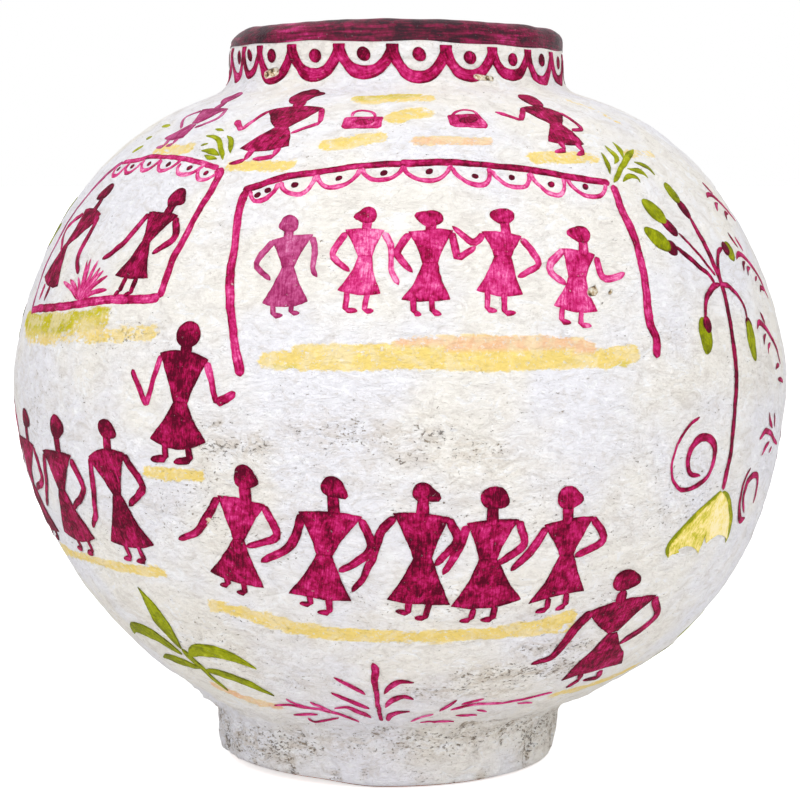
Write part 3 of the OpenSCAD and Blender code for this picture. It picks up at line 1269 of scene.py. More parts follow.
@dataclass
class Brushwork:
    """Thin raised paint laid on the coat, gathered into one piece."""

    coat: WhiteCoat
    name: str
    seed: float
    cell: float = 1.15
    lift: float = 0.15 * MM
    lift_step: float = 0.012 * MM
    thickness: float = 0.42 * MM
    wobble: float = 0.34
    rim_width: float = 0.8
    pigments: list[Pigment] = field(default_factory=list)
    count: int = 0
    chart: Chart = Chart(0, 0)

    def __post_init__(self) -> None:
        """Start the piece's mesh and the values that its points carry."""
        self.mesh = self.blank()
        self.scratch = bpy.data.meshes.new("scratch")

    def blank(self) -> bmesh.types.BMesh:
        """Start an empty mesh with the layers of paint.

        Returns:
            The mesh.
        """
        mesh = bmesh.new()
        for name in ("load", "rim", "chip"):
            mesh.verts.layers.float.new(name)
        mesh.verts.layers.float_vector.new("brush")
        return mesh

    def lay(self, shape: Shape, width: float, length: float, load: float,
            pigment: Pigment) -> None:
        """Lay one film of paint.

        Args:
            shape: maps the unit square onto the drawing.
            width: the film's width, in millimetres.
            length: its length, in millimetres.
            load: how much paint the brush holds, from 0 to 1.
            pigment: the paint.
        """
        if pigment not in self.pigments:
            self.pigments.append(pigment)
        film = self.blank()
        columns = max(3, round(width / self.cell))
        rows = max(3, round(length / self.cell))
        bmesh.ops.create_grid(film, x_segments=columns, y_segments=rows, size=1.0)
        layers = film.verts.layers
        marks = layers.float["load"], layers.float["rim"], layers.float["chip"]
        brush = layers.float_vector["brush"]
        lift = self.lift + self.lift_step * (self.count % 14)
        for vertex in film.verts:
            u, v, margin, across, along = shape(vertex.co.x, vertex.co.y)
            slow = noise.noise_vector(Vector((u * 0.16, v * 0.16, self.seed)))
            quick = noise.noise_vector(Vector((u * 0.6, v * 0.6, self.seed + 9)))
            u += self.wobble * (1.3 * slow.x + 0.6 * quick.x)
            v += self.wobble * (1.3 * slow.y + 0.6 * quick.y)
            angle, height = self.chart.on(u, v)
            vertex[marks[0]] = load
            vertex[marks[1]] = 1 - ease(0, self.rim_width, margin)
            vertex[marks[2]] = self.coat.chipped(angle, height)
            vertex[brush] = Vector((across, along, self.seed + self.count))
            vertex.co = self.coat.touch(angle, height, lift)
        if self.chart.mirrored:
            bmesh.ops.reverse_faces(film, faces=film.faces)
        bmesh.ops.solidify(film, geom=film.faces[:], thickness=self.thickness)
        bmesh.ops.recalc_face_normals(film, faces=film.faces)
        for face in film.faces:
            face.material_index = self.pigments.index(pigment)
        film.to_mesh(self.scratch)
        film.free()
        self.mesh.from_mesh(self.scratch)
        self.count += 1

    def stroke(self, points: Line, width: float | Sequence[float], load: float = 0.6,
               pigment: Pigment = Pigment.MAGENTA,
               tips: tuple[Tip, Tip] = (Tip.ROUND, Tip.ROUND)) -> None:
        """Paint one stroke along a line.

        Args:
            points: the line.
            width: one width, or widths evenly spaced along it.
            load: how much paint the brush holds.
            pigment: the paint.
            tips: how the stroke starts and ends.
        """
        widths = [width, width] if isinstance(width, (int, float)) else list(width)
        self.lay(*stroke_shape(points, widths, tips), load, pigment)

    def patch(self, left: Line, right: Line, bows: Point = (0, 0), load: float = 0.6,
              pigment: Pigment = Pigment.MAGENTA) -> None:
        """Fill the space between two lines.

        Args:
            left: the left edge, from top to bottom.
            right: the right edge, from top to bottom.
            bows: how far the top and bottom edges bow upwards.
            load: how much paint the brush holds.
            pigment: the paint.
        """
        self.lay(*patch_shape(left, right, bows), load, pigment)

    def dab(self, centre: Point, size: Point, load: float = 0.6,
            pigment: Pigment = Pigment.MAGENTA, tilt: float = 0.0,
            beak: Point | None = None) -> None:
        """Press one round dab.

        Args:
            centre: its middle.
            size: its width and height.
            load: how much paint the brush holds.
            pigment: the paint.
            tilt: its turn in degrees.
            beak: the point that it is drawn out to, if any.
        """
        self.lay(*disc_shape(centre, size, tilt, beak), load, pigment)

    def finish(self) -> None:
        """Turn the gathered films into a piece."""
        bpy.data.meshes.remove(self.scratch)
        materials = [PAINTS[pigment] for pigment in self.pigments]
        new_piece(self.mesh, self.name, materials)


PAINTS: dict[Pigment, bpy.types.Material] = {}


@dataclass(frozen=True)
class Stroke:
    """One stroke of the brush along a line, with widths spaced evenly on it."""

    line: tuple[Point, ...]
    widths: tuple[float, ...]
    load: float = 0.6
    pigment: Pigment = Pigment.MAGENTA
    tips: tuple[Tip, Tip] = (Tip.ROUND, Tip.ROUND)

    def paint(self, brush: Brushwork, chart: Chart) -> None:
        """Paint it at a place on the jar."""
        brush.chart = chart
        brush.stroke(self.line, self.widths, self.load, self.pigment, self.tips)


@dataclass(frozen=True)
class Dab:
    """One round dab, which may be drawn out to a beak."""

    centre: Point
    size: Point
    load: float = 0.6
    pigment: Pigment = Pigment.MAGENTA
    tilt: float = 0.0
    beak: Point | None = None

    def paint(self, brush: Brushwork, chart: Chart) -> None:
        """Paint it at a place on the jar."""
        brush.chart = chart
        brush.dab(self.centre, self.size, self.load, self.pigment, self.tilt, self.beak)


@dataclass(frozen=True)
class Patch:
    """One filled shape between a left and a right edge, both drawn from the top down."""

    left: tuple[Point, ...]
    right: tuple[Point, ...]
    bows: Point = (0.0, 0.0)
    load: float = 0.6
    pigment: Pigment = Pigment.MAGENTA

    def paint(self, brush: Brushwork, chart: Chart) -> None:
        """Paint it at a place on the jar."""
        brush.chart = chart
        brush.patch(self.left, self.right, self.bows, self.load, self.pigment)


@dataclass(frozen=True)
class Figure:
    """A painted person: two triangles that meet at the waist, a head, bent arms and short legs."""

    waist: Point
    waist_width: float
    shoulders: tuple[Point, Point]
    head: Point
    head_size: Point
    hem: tuple[Point, Point]
    legs: tuple[tuple[Point, ...], ...]
    arms: tuple[tuple[Point, ...], ...]
    beak: Point | None = None
    tilt: float = 0.0
    hem_bow: float = -1.5
    shoulder_bow: float = 0.8
    neck_width: float = 4.5
    arm_width: float = 3.3
    leg_width: float = 2.7
    load: float = 0.72
    head_load: float = 0.08
    pigment: Pigment = Pigment.MAGENTA

    @staticmethod
    def between(start: Point, end: Point, inward: float) -> Point:
        """Give the middle of an edge, drawn in a little."""
        return ((start[0] + end[0]) / 2 + inward, (start[1] + end[1]) / 2)

    def paint(self, brush: Brushwork, chart: Chart) -> None:
        """Paint the figure.

        Args:
            brush: the brush and the piece that it paints.
            chart: where the figure's drawing lies on the jar.
        """
        brush.chart = chart
        middle, height = self.waist
        left_waist = (middle - self.waist_width / 2, height)
        right_waist = (middle + self.waist_width / 2, height)
        left, right = self.shoulders
        between, load, pigment = self.between, self.load, self.pigment
        for arm in self.arms:
            widths = (self.arm_width, self.arm_width * 1.1, self.arm_width * 0.9,
                      self.arm_width * 0.75)
            brush.stroke(arm, widths, load - 0.06, pigment, (Tip.ROUND, Tip.SOFT))
        brush.patch([left, between(left, left_waist, 0.6), left_waist],
                    [right, between(right, right_waist, -0.6), right_waist],
                    (self.shoulder_bow, 0), load, pigment)
        top_left, top_right = (left_waist[0], height + 1), (right_waist[0], height + 1)
        brush.patch([top_left, between(left_waist, self.hem[0], 0.5), self.hem[0]],
                    [top_right, between(right_waist, self.hem[1], -0.5), self.hem[1]],
                    (0, self.hem_bow), load + 0.04, pigment)
        for leg in self.legs:
            brush.stroke([(leg[0][0], leg[0][1] + 1.5), leg[1]], self.leg_width, load, pigment)
            brush.stroke([leg[-2], leg[-1]], (self.leg_width, self.leg_width * 0.8), load,
                         pigment, (Tip.ROUND, Tip.SOFT))
        base = min(max(self.head[0], left[0] + 3), right[0] - 3)
        share = (base - left[0]) / (right[0] - left[0])
        top = left[1] + (right[1] - left[1]) * share
        brush.stroke([((base * 2 + self.head[0]) / 3, top - 1.5), self.head],
                     (self.neck_width * 1.15, self.neck_width), load, pigment)
        brush.dab(self.head, self.head_size, load + self.head_load, pigment, self.tilt,
                  self.beak)


@dataclass(frozen=True)
class Scallop:
    """One hanging loop of a garland, with dots inside."""

    left: Point
    right: Point
    bottom: Point
    dots: tuple[Point, ...] = ()
    width: float = 1.9
    dot_size: Point = (3.0, 2.6)
    load: float = 0.24
    flare: float = 1.1

    def paint(self, brush: Brushwork, chart: Chart) -> None:
        """Paint the loop and its dots.

        Args:
            brush: the brush and the piece that it paints.
            chart: where it lies.
        """
        brush.chart = chart
        (u0, v0), (u1, v1) = self.left, self.right
        middle, low = self.bottom
        loop = [self.left]
        for side, depth in ((0.05, 0.4), (0.24, 0.86)):
            loop.append((u0 + (middle - u0) * 2 * side, v0 + (low - v0) * depth))
        loop.append(self.bottom)
        for side, depth in ((0.24, 0.86), (0.05, 0.4)):
            loop.append((u1 + (middle - u1) * 2 * side, v1 + (low - v1) * depth))
        loop.append(self.right)
        wide = self.width
        ends = wide * self.flare
        brush.stroke(loop, (ends, wide * 0.95, wide * 0.9, wide, wide * 1.15, wide, wide * 0.9,
                            wide * 0.95, ends), self.load)
        for dot in self.dots:
            brush.dab(dot, self.dot_size, 0.92, tilt=25)


@dataclass(frozen=True)
class Basket:
    """A small basket with a round handle."""

    top: tuple[Point, Point]
    bottom: tuple[Point, Point]
    handle: tuple[Point, ...]
    load: float = 0.5

    def paint(self, brush: Brushwork, chart: Chart) -> None:
        """Paint the basket.

        Args:
            brush: the brush and the piece that it paints.
            chart: where it lies.
        """
        brush.chart = chart
        left = (self.top[0], self.bottom[0])
        right = (self.top[1], self.bottom[1])
        brush.patch(left, right, (0.2, -0.4), self.load)
        for line in (left, right, self.bottom):
            brush.stroke(line, 1.6, self.load - 0.1)
        middle = (sum(p[0] for p in self.top + self.bottom) / 4 + 1,
                  sum(p[1] for p in self.top + self.bottom) / 4)
        brush.dab(middle, (8.5, 5), 0.66, tilt=12)
        brush.stroke(self.handle, 1.3, 0.3)


Ornament = Stroke | Dab | Patch | Figure | Scallop | Basket
BLUNT = (Tip.ROUND, Tip.ROUND)
FINE = (Tip.POINT, Tip.POINT)
DRAWN = (Tip.ROUND, Tip.POINT)


def strokes(load: float, pigment: Pigment, tips: tuple[Tip, Tip],
            *lines: tuple[tuple[float, ...], tuple[Point, ...]]) -> tuple[Stroke, ...]:
    """List strokes that share a paint.

    Args:
        load: how much paint the brush holds.
        pigment: the paint.
        tips: how each starts and ends.
        lines: the widths and the line of each.

    Returns:
        The strokes.
    """
    return tuple(Stroke(line, widths, load + 0.07 * math.sin(index * 2.3), pigment, tips)
                 for index, (widths, line) in enumerate(lines))


@dataclass(frozen=True)
class Painting:
    """Ornament that makes one piece, laid out in one or more charts."""

    name: str
    parts: tuple[tuple[Chart, tuple[Ornament, ...]], ...]
    seed: float = 1.0

    def turned(self, name: str, by: float, mirrored: bool = False, raised: float = 0.0,
               seed: float = 2.0) -> "Painting":
        """Make the same ornament elsewhere on the jar.

        Args:
            name: the new piece's name.
            by: how far round it goes, in degrees.
            mirrored: whether it is turned left to right.
            raised: how far up it goes, in millimetres.
            seed: sets the hand's unevenness.

        Returns:
            The new painting.
        """
        parts = tuple((chart.turned(by, mirrored, raised), items) for chart, items in self.parts)
        return Painting(name, parts, seed)

    def build(self, coat: WhiteCoat) -> None:
        """Paint it on the coat."""
        brush = Brushwork(coat, self.name, self.seed)
        for chart, items in self.parts:
            for item in items:
                item.paint(brush, chart)
        brush.finish()


@dataclass(frozen=True)
class Stage:
    """The pale floor, the soft lamps and the camera."""

    floor_level: float = 0.0
    reach: float = 60.0
    shade: Colour = (0.92, 0.92, 0.92, 1.0)
    floor_glow: float = 0.7
    world_light: float = 0.67

    def build(self) -> None:
        """Set up everything round the jar."""
        self.floor()
        self.world()
        self.lamp("key_softbox", (-0.75, -1.35, 1.75), (0, 0, 0.17), 1.5, 14.9)
        self.lamp("fill_softbox", (1.5, -1.2, 1.0), (0, 0, 0.15), 1.4, 7.0)
        self.lamp("top_softbox", (0.1, 0.25, 1.9), (0, 0, 0.2), 1.6, 6.8)
        self.lamp("low_softbox", (-0.2, -2.1, 0.3), (0, 0, 0.1), 1.6, 15.4)
        self.camera()

    def floor(self) -> None:
        """Lay the floor, which looks white to the camera but keeps the jar's shadow."""
        mesh = bmesh.new()
        bmesh.ops.create_grid(mesh, x_segments=1, y_segments=1, size=self.reach)
        data = bpy.data.meshes.new("pale_floor")
        mesh.to_mesh(data)
        mesh.free()
        material, shading, body = Finish("pale_floor_paint").start()
        body.inputs["Base Color"].default_value = self.shade
        body.inputs["Roughness"].default_value = 0.9
        seen = shading.add("LightPath").outputs["Is Camera Ray"]
        shading.tree.links.new(shading.sum("MULTIPLY", seen, self.floor_glow),
                               body.inputs["Emission Strength"])
        body.inputs["Emission Color"].default_value = (1, 1, 1, 1)
        data.materials.append(material)
        floor = bpy.data.objects.new("pale_floor", data)
        bpy.context.scene.collection.objects.link(floor)

    def world(self) -> None:
        """Surround the jar with plain light that is white where the camera sees it."""
        world = bpy.data.worlds.new("plain_studio")
        world.use_nodes = True
        bpy.context.scene.world = world
        nodes, links = world.node_tree.nodes, world.node_tree.links
        shading = Shading(world.node_tree)
        seen = shading.add("LightPath").outputs["Is Camera Ray"]
        glow = shading.span(seen, 0, 1, self.world_light, 1.0)
        background = nodes["Background"]
        background.inputs["Color"].default_value = (1, 1, 1, 1)
        links.new(glow, background.inputs["Strength"])

    def lamp(self, name: str, place: tuple[float, float, float],
             aim: tuple[float, float, float], size: float, power: float) -> None:
        """Hang one square lamp and turn it to the jar.

        Args:
            name: the lamp's name.
            place: where it hangs.
            aim: the point that it faces.
            size: the length of its side.
            power: its power in watts.
        """
        data = bpy.data.lights.new(name, "AREA")
        data.size = size
        data.energy = power
        lamp = bpy.data.objects.new(name, data)
        lamp.location = place
        lamp.rotation_euler = (Vector(place) - Vector(aim)).to_track_quat("Z", "Y").to_euler()
        bpy.context.scene.collection.objects.link(lamp)

    def camera(self) -> None:
        """Set up the camera as it was fitted to the photograph."""
        data = bpy.data.cameras.new("jar_camera")
        data.sensor_width = 36.0
        data.lens = 108.1
        camera = bpy.data.objects.new("jar_camera", data)
        camera.location = (0.0, -1.1, 0.265)
        camera.rotation_euler = (math.radians(90 - 5.3), 0.0, 0.0)
        bpy.context.scene.collection.objects.link(camera)
        bpy.context.scene.camera = camera
        bpy.context.scene.view_settings.view_transform = "Standard"


def belly_dancers() -> Painting:
    """Draw the five dancers that face the camera, hand in hand round the belly."""
    left = (
        Figure(waist=(-26, 6.5), waist_width=5, shoulders=((-33, 25.5), (-12.5, 22.5)),
               head=(-20.5, 34), head_size=(9, 10), beak=(-14.5, 31.5),
               hem=((-42, -9), (-19, -15)),
               legs=(((-35, -12), (-35, -15), (-39, -15)),
                     ((-28, -14.5), (-28, -18.5), (-32, -18))),
               arms=(((-33, 24.5), (-39, 16), (-45, 9), (-55, 5)),
                     ((-13, 22), (-9, 11.5), (-12, 7.5), (-23, 4)))),
        Figure(waist=(9.5, 1.5), waist_width=6, shoulders=((1.5, 20.5), (26.5, 19)),
               head=(15.5, 31), head_size=(9, 8.5), beak=(21.5, 27),
               hem=((-8.5, -16.5), (17, -19.5)), hem_bow=-1,
               legs=(((0, -19), (-0.5, -22.5), (-5, -22)), ((8, -20), (7, -26), (2, -26))),
               arms=(((2.5, 19.5), (-1, 10), (-6.5, 3.5), (-18, -2.5)),
                     ((26, 18), (29, 8), (25.5, 2), (14, -5.5)))))
    right = (
        Figure(waist=(-26.5, 0.5), waist_width=7, shoulders=((-38.5, 20.5), (-16.5, 18.5)),
               head=(-27, 29), head_size=(8.5, 8), beak=(-20, 26.5), load=0.76,
               hem=((-40, -18), (-14.5, -21)), hem_bow=-1,
               legs=(((-31, -20), (-31, -25), (-36, -24)),
                     ((-23, -21.5), (-24, -28), (-28, -27.5))),
               arms=(((-38, 19), (-43.3, 12), (-46.1, 2.2), (-49.9, -8.2), (-54, -14.5)),
                     ((-16.5, 18), (-13, 10), (-15.5, 5), (-22, -2)))),
        Figure(waist=(-0.5, -0.5), waist_width=7, shoulders=((-9.5, 16), (11.5, 17)),
               head=(1, 26.5), head_size=(11, 9), beak=(7.5, 23.5),
               hem=((-14, -22), (14.5, -20)), hem_bow=-2.5,
               legs=(((-5, -25), (-5.5, -29), (-10, -29.5)),
                     ((4, -24), (3.5, -29.5), (-1.5, -29.5))),
               arms=(((-9.5, 15), (-12.5, 5), (-18.5, -6.5)),
                     ((11.5, 16.5), (14.5, 7.5), (11.5, 3), (3, -2.5)))),
        Figure(waist=(33, -0.5), waist_width=6, shoulders=((22.5, 14), (44.5, 16.5)),
               head=(32.5, 25), head_size=(10, 9.5), beak=(39.5, 24),
               hem=((18, -22.5), (43, -18)), hem_bow=1,
               legs=(((26.5, -22), (26.5, -26), (21.5, -27)),
                     ((34.5, -20), (35, -25), (30.5, -27))),
               arms=(((23.5, 13), (18, 4), (9, -5.5)),
                     ((44, 16), (50, 7), (46.5, 3.5), (36.5, -1)))))
    return Painting("belly_dancers", ((Chart(-14, 115), left), (Chart(12, 115), right)))


def side_dancers() -> Painting:
    """Draw the three dancers that come round the belly from the left."""
    people = (
        Figure(waist=(-52, 6), waist_width=5.5, shoulders=((-64, 27), (-31, 26)),
               head=(-41, 37), head_size=(10, 8), beak=(-34, 35),
               hem=((-66, -14), (-31, -13.5)), load=0.8,
               legs=(((-52, -14), (-52, -18), (-56, -18.5)),
                     ((-40, -14), (-40, -18), (-45, -18.5))),
               arms=(((-63, 26), (-71, 14), (-74, 2)),
                     ((-31.5, 25), (-27, 14), (-31, 9), (-45, 5)))),
        Figure(waist=(-5, 9), waist_width=6, shoulders=((-18.5, 25.5), (9.5, 25.5)),
               head=(-1.5, 37), head_size=(11, 10), beak=(6, 36.5), load=0.8,
               hem=((-21, -11.5), (10, -11)), hem_bow=-3,
               legs=(((-8.5, -14), (-8, -18.5), (-13, -18.5)),
                     ((2, -13.5), (2, -19), (-4, -20))),
               arms=(((-17.5, 24), (-22, 12), (-27, 4), (-33, -1)),
                     ((9, 24), (15, 13.5), (11.5, 8), (1, 2)))),
        Figure(waist=(37, 11), waist_width=4.5, shoulders=((22.5, 26.5), (46, 29.5)),
               head=(36, 39), head_size=(9.5, 8), beak=(42, 36.5), shoulder_bow=2.5, load=0.8,
               hem=((22, -10.5), (49, -9.5)), hem_bow=-2,
               legs=(((31, -12), (31, -17.5), (25.5, -18.5)),
                     ((39, -12), (39.5, -18), (34, -18.5))),
               arms=(((23.5, 26), (22.5, 15), (19, 3), (12, -5.5)),
                     ((45.5, 29), (53, 17.5), (50.5, 13), (42, 7)))))
    return Painting("side_dancers", ((Chart(-55, 125), people),))


def lead_dancer() -> Painting:
    """Draw the large dark dancer with raised hands."""
    figure = Figure(waist=(-2.5, 5.5), waist_width=6, shoulders=((-14, 25.5), (9.5, 23.5)),
                    head=(-1.2, 33.5), head_size=(11.3, 10.5), shoulder_bow=2.2, load=0.84,
                    hem=((-18, -8.8), (9, -9)), hem_bow=-3.5, neck_width=4.8, arm_width=2.9,
                    leg_width=3.0,
                    legs=(((-10.5, -11), (-10.5, -16.5), (-18.5, -17.5)),
                          ((0.5, -12), (1, -17), (-7, -18))),
                    arms=())
    arms = strokes(0.52, Pigment.MAGENTA, BLUNT,
                   ((2.8, 2.4, 2.6), ((-13.5, 24.5), (-16.5, 14), (-19.5, 4.5))),
                   ((2.5, 2.6, 2.4), ((-19.5, 4.5), (-23.5, 11), (-28, 18))),
                   ((3.0, 2.8, 2.8), ((9, 22.5), (12, 14), (14.5, 6.5))),
                   ((3.2, 3.4, 2.8), ((14.5, 6.5), (18.5, 8.5), (22.5, 11))))
    return Painting("lead_dancer", ((Chart(-29, 170), arms + (figure,)),))


def reaching_dancer() -> Painting:
    """Draw the dancer at the lower right, who leans and reaches down."""
    items = (
        Patch(((0, 16.5), (1.5, 14), (7, 8), (15, 2.5)), ((34, 20.5), (31, 17), (25, 11), (20, 3)),
              (2.6, 0), 0.84),
        Patch(((15, 2), (11, -8), (7, -18), (5.5, -28)), ((20, 2), (27, -8), (33, -14), (37, -22)),
              (0, 1.5), 0.82),
        *strokes(0.74, Pigment.MAGENTA, (Tip.ROUND, Tip.SOFT),
                 ((3.0, 2.8), ((14, -25), (17, -30))), ((3.0, 2.0), ((17, -30), (13.5, -36))),
                 ((3.0, 2.8), ((25, -25), (29, -31))), ((3.0, 2.2), ((29, -31), (20, -31.5))),
                 ((5.0, 4.8, 4.2, 3.6, 2.2), ((1, 16.5), (-4, 8), (-6, 0), (-9, -9), (-17, -12.5))),
                 ((4.0, 4.2, 3.6), ((33.5, 19.5), (40.5, 9), (36, 2), (25, -5.5)))),
        Stroke(((14, 19), (13.4, 26)), (5.5, 4.8), 0.84),
        Dab((13, 31), (12.5, 10.5), 0.84, beak=(21.5, 30.3)))
    return Painting("reaching_dancer", ((Chart(30, 75), items),))


def canopy() -> Painting:
    """Draw the long canopy: its bar, its two posts and its row of dotted scallops."""
    left = strokes(0.63, Pigment.MAGENTA, BLUNT,
                   ((3.0, 3.4, 3.0, 3.2, 3.4), ((-25.5, 6), (-20, 8.2), (-9, 12.7), (4.5, 15.5),
                                                (18, 18.2), (31.8, 19.5), (50, 20.5))))
    right = strokes(0.66, Pigment.MAGENTA, BLUNT,
                    ((3.3, 3.2, 2.8, 3.2, 3.4, 3.0), ((-51, 20.5), (-30, 20.7), (-10, 18.3),
                                                      (0, 17), (10, 14.5), (20, 12.3),
                                                      (30, 10.5), (37.5, 9))))
    left += (
        Scallop((-22, 6), (-10.5, 10), (-18, 0.8), ((-18.4, 3.8), (-14.3, 6.0))),
        Scallop((-9.5, 10.5), (4.5, 14), (-1.4, 4.3), ((-3.2, 8.9),)),
        Scallop((5, 14.5), (22, 17), (13.2, 7.5), ((14.4, 12.4),)),
        Scallop((23, 17.5), (39, 19), (31.8, 11.2), ((31.8, 15),)),
        Scallop((39.5, 18.5), (58, 19.5), (51, 10.9), ((50, 16),)))
    right += (
        Scallop((-31, 18), (-16, 17.5), (-22.7, 8.6), ((-23, 13.4),)),
        Scallop((-15, 16.5), (0.5, 15), (-5.5, 7.3), ((-7.7, 12.6),)),
        Scallop((1, 15), (15.5, 12), (10, 3.4), ((8.4, 8.8),)),
        Scallop((17, 12), (35, 9), (27.3, 2.5), ((24.7, 7.6),)))
    first = strokes(0.55, Pigment.MAGENTA, BLUNT,
                    ((3.8, 3.4, 4.0, 3.6, 4.2), ((-9.4, 40.3), (-9.2, 28.1), (-7.5, 14.5),
                                                 (-7.1, 3.7), (-5.8, -4.7), (-2.2, -21.1),
                                                 (3, -38.9))))
    last = strokes(0.56, Pigment.MAGENTA, BLUNT,
                   ((3.6, 4.2, 3.8, 4.2, 4.0), ((-5.6, 42.4), (-7.2, 30.2), (-6.8, 16.2),
                                                (-8.6, -1.6), (-11.1, -18.3), (-9.7, -26.3),
                                                (-10.6, -33.3))))
    return Painting("canopy", ((Chart(-16, 255), left), (Chart(22, 255), right),
                               (Chart(-22, 225), first), (Chart(40, 225), last)))


def canopy_guests() -> Painting:
    """Draw the five people who stand under the canopy."""
    left = (
        Figure(waist=(-27.8, 5), waist_width=5, shoulders=((-35.5, 17), (-18.5, 19.5)),
               head=(-28.5, 24.5), head_size=(7.5, 8), beak=(-33, 23), load=0.55,
               hem=((-37.5, -9.5), (-19, -8.5)), hem_bow=-2, arm_width=2.5, leg_width=2.2,
               neck_width=3.6, pigment=Pigment.MAUVE,
               legs=(((-33, -11), (-33, -14.7), (-29, -14.5)),
                     ((-25.5, -10), (-25.5, -13.7), (-22, -13.5))),
               arms=(((-35, 16.5), (-41, 7.5), (-39.5, 4), (-34.5, 0)),
                     ((-19, 18.5), (-17.3, 14), (-17.5, 5), (-15.5, 1.5)))),
        Figure(waist=(3, 9.5), waist_width=5, shoulders=((-5.5, 21.5), (10, 21.5)),
               head=(3, 28.5), head_size=(7, 8), beak=(-2.6, 28), load=0.34, head_load=0.26,
               hem=((-7, -4), (9.5, -5)), hem_bow=-1.5, arm_width=2.5, leg_width=2.2,
               neck_width=3.6,
               legs=(((-3.5, -6), (-3.8, -12), (1, -12.5)), ((4.5, -6), (3.8, -12.5), (7.5, -12.5))),
               arms=(((-5, 20.5), (-10, 12), (-8, 8), (-3, 4)),
                     ((10, 20.5), (13.2, 13), (13.5, 5), (16.5, -1.5)))),
        Figure(waist=(28.7, 6.8), waist_width=5.5, shoulders=((19.5, 20.8), (36.9, 21.5)),
               head=(28.3, 27), head_size=(9, 7.4), beak=(21.4, 29), load=0.48,
               hem=((18.1, -7.8), (36.9, -7.5)), hem_bow=-1, arm_width=2.9, leg_width=2.4,
               neck_width=4,
               legs=(((22.5, -8.5), (22.7, -13), (25.7, -13.8)),
                     ((29.7, -8.5), (30, -13), (33.7, -13.8))),
               arms=(((36.5, 20.5), (38.6, 12), (40, 10), (46.6, 14.5)),
                     ((20, 20), (15.8, 13), (17, 9), (22, 3.5)))))
    right = (
        Figure(waist=(-3.5, 9.5), waist_width=7, shoulders=((-10.5, 21), (6, 19)),
               head=(-0.5, 28), head_size=(9, 7), beak=(-5.8, 29), load=0.46,
               hem=((-16, -4), (2.5, -6)), hem_bow=-1.5, arm_width=2.7, leg_width=2.3,
               neck_width=3.8,
               legs=(((-11.5, -6), (-12.5, -12), (-8.5, -12.5)),
                     ((-5, -7), (-5.5, -13.5), (-1, -13.5))),
               arms=(((-10, 20), (-15, 16.5), (-22, 23.5)), ((5.5, 18), (11, 8), (8.5, 4.5), (1.5, 1.5)))),
        Figure(waist=(27, 0), waist_width=8, shoulders=((22, 13), (37, 10)),
               head=(32, 19), head_size=(8, 7.5), beak=(25.5, 20.5), load=0.4, head_load=0.16,
               hem=((15.5, -10.5), (34.5, -13.5)), hem_bow=-1.5, arm_width=2.9, leg_width=2.2,
               neck_width=4,
               legs=(((19, -13), (18, -17.5), (22, -18)), ((27, -15), (26, -19), (31, -19.5))),
               arms=(((22.5, 12.5), (16, 6), (16.5, 2), (21.5, -2)), ((37, 9), (39, 0.5), (44, 0), (50, 2)))))
    return Painting("canopy_guests", ((Chart(-6, 225), left), (Chart(16, 225), right)))


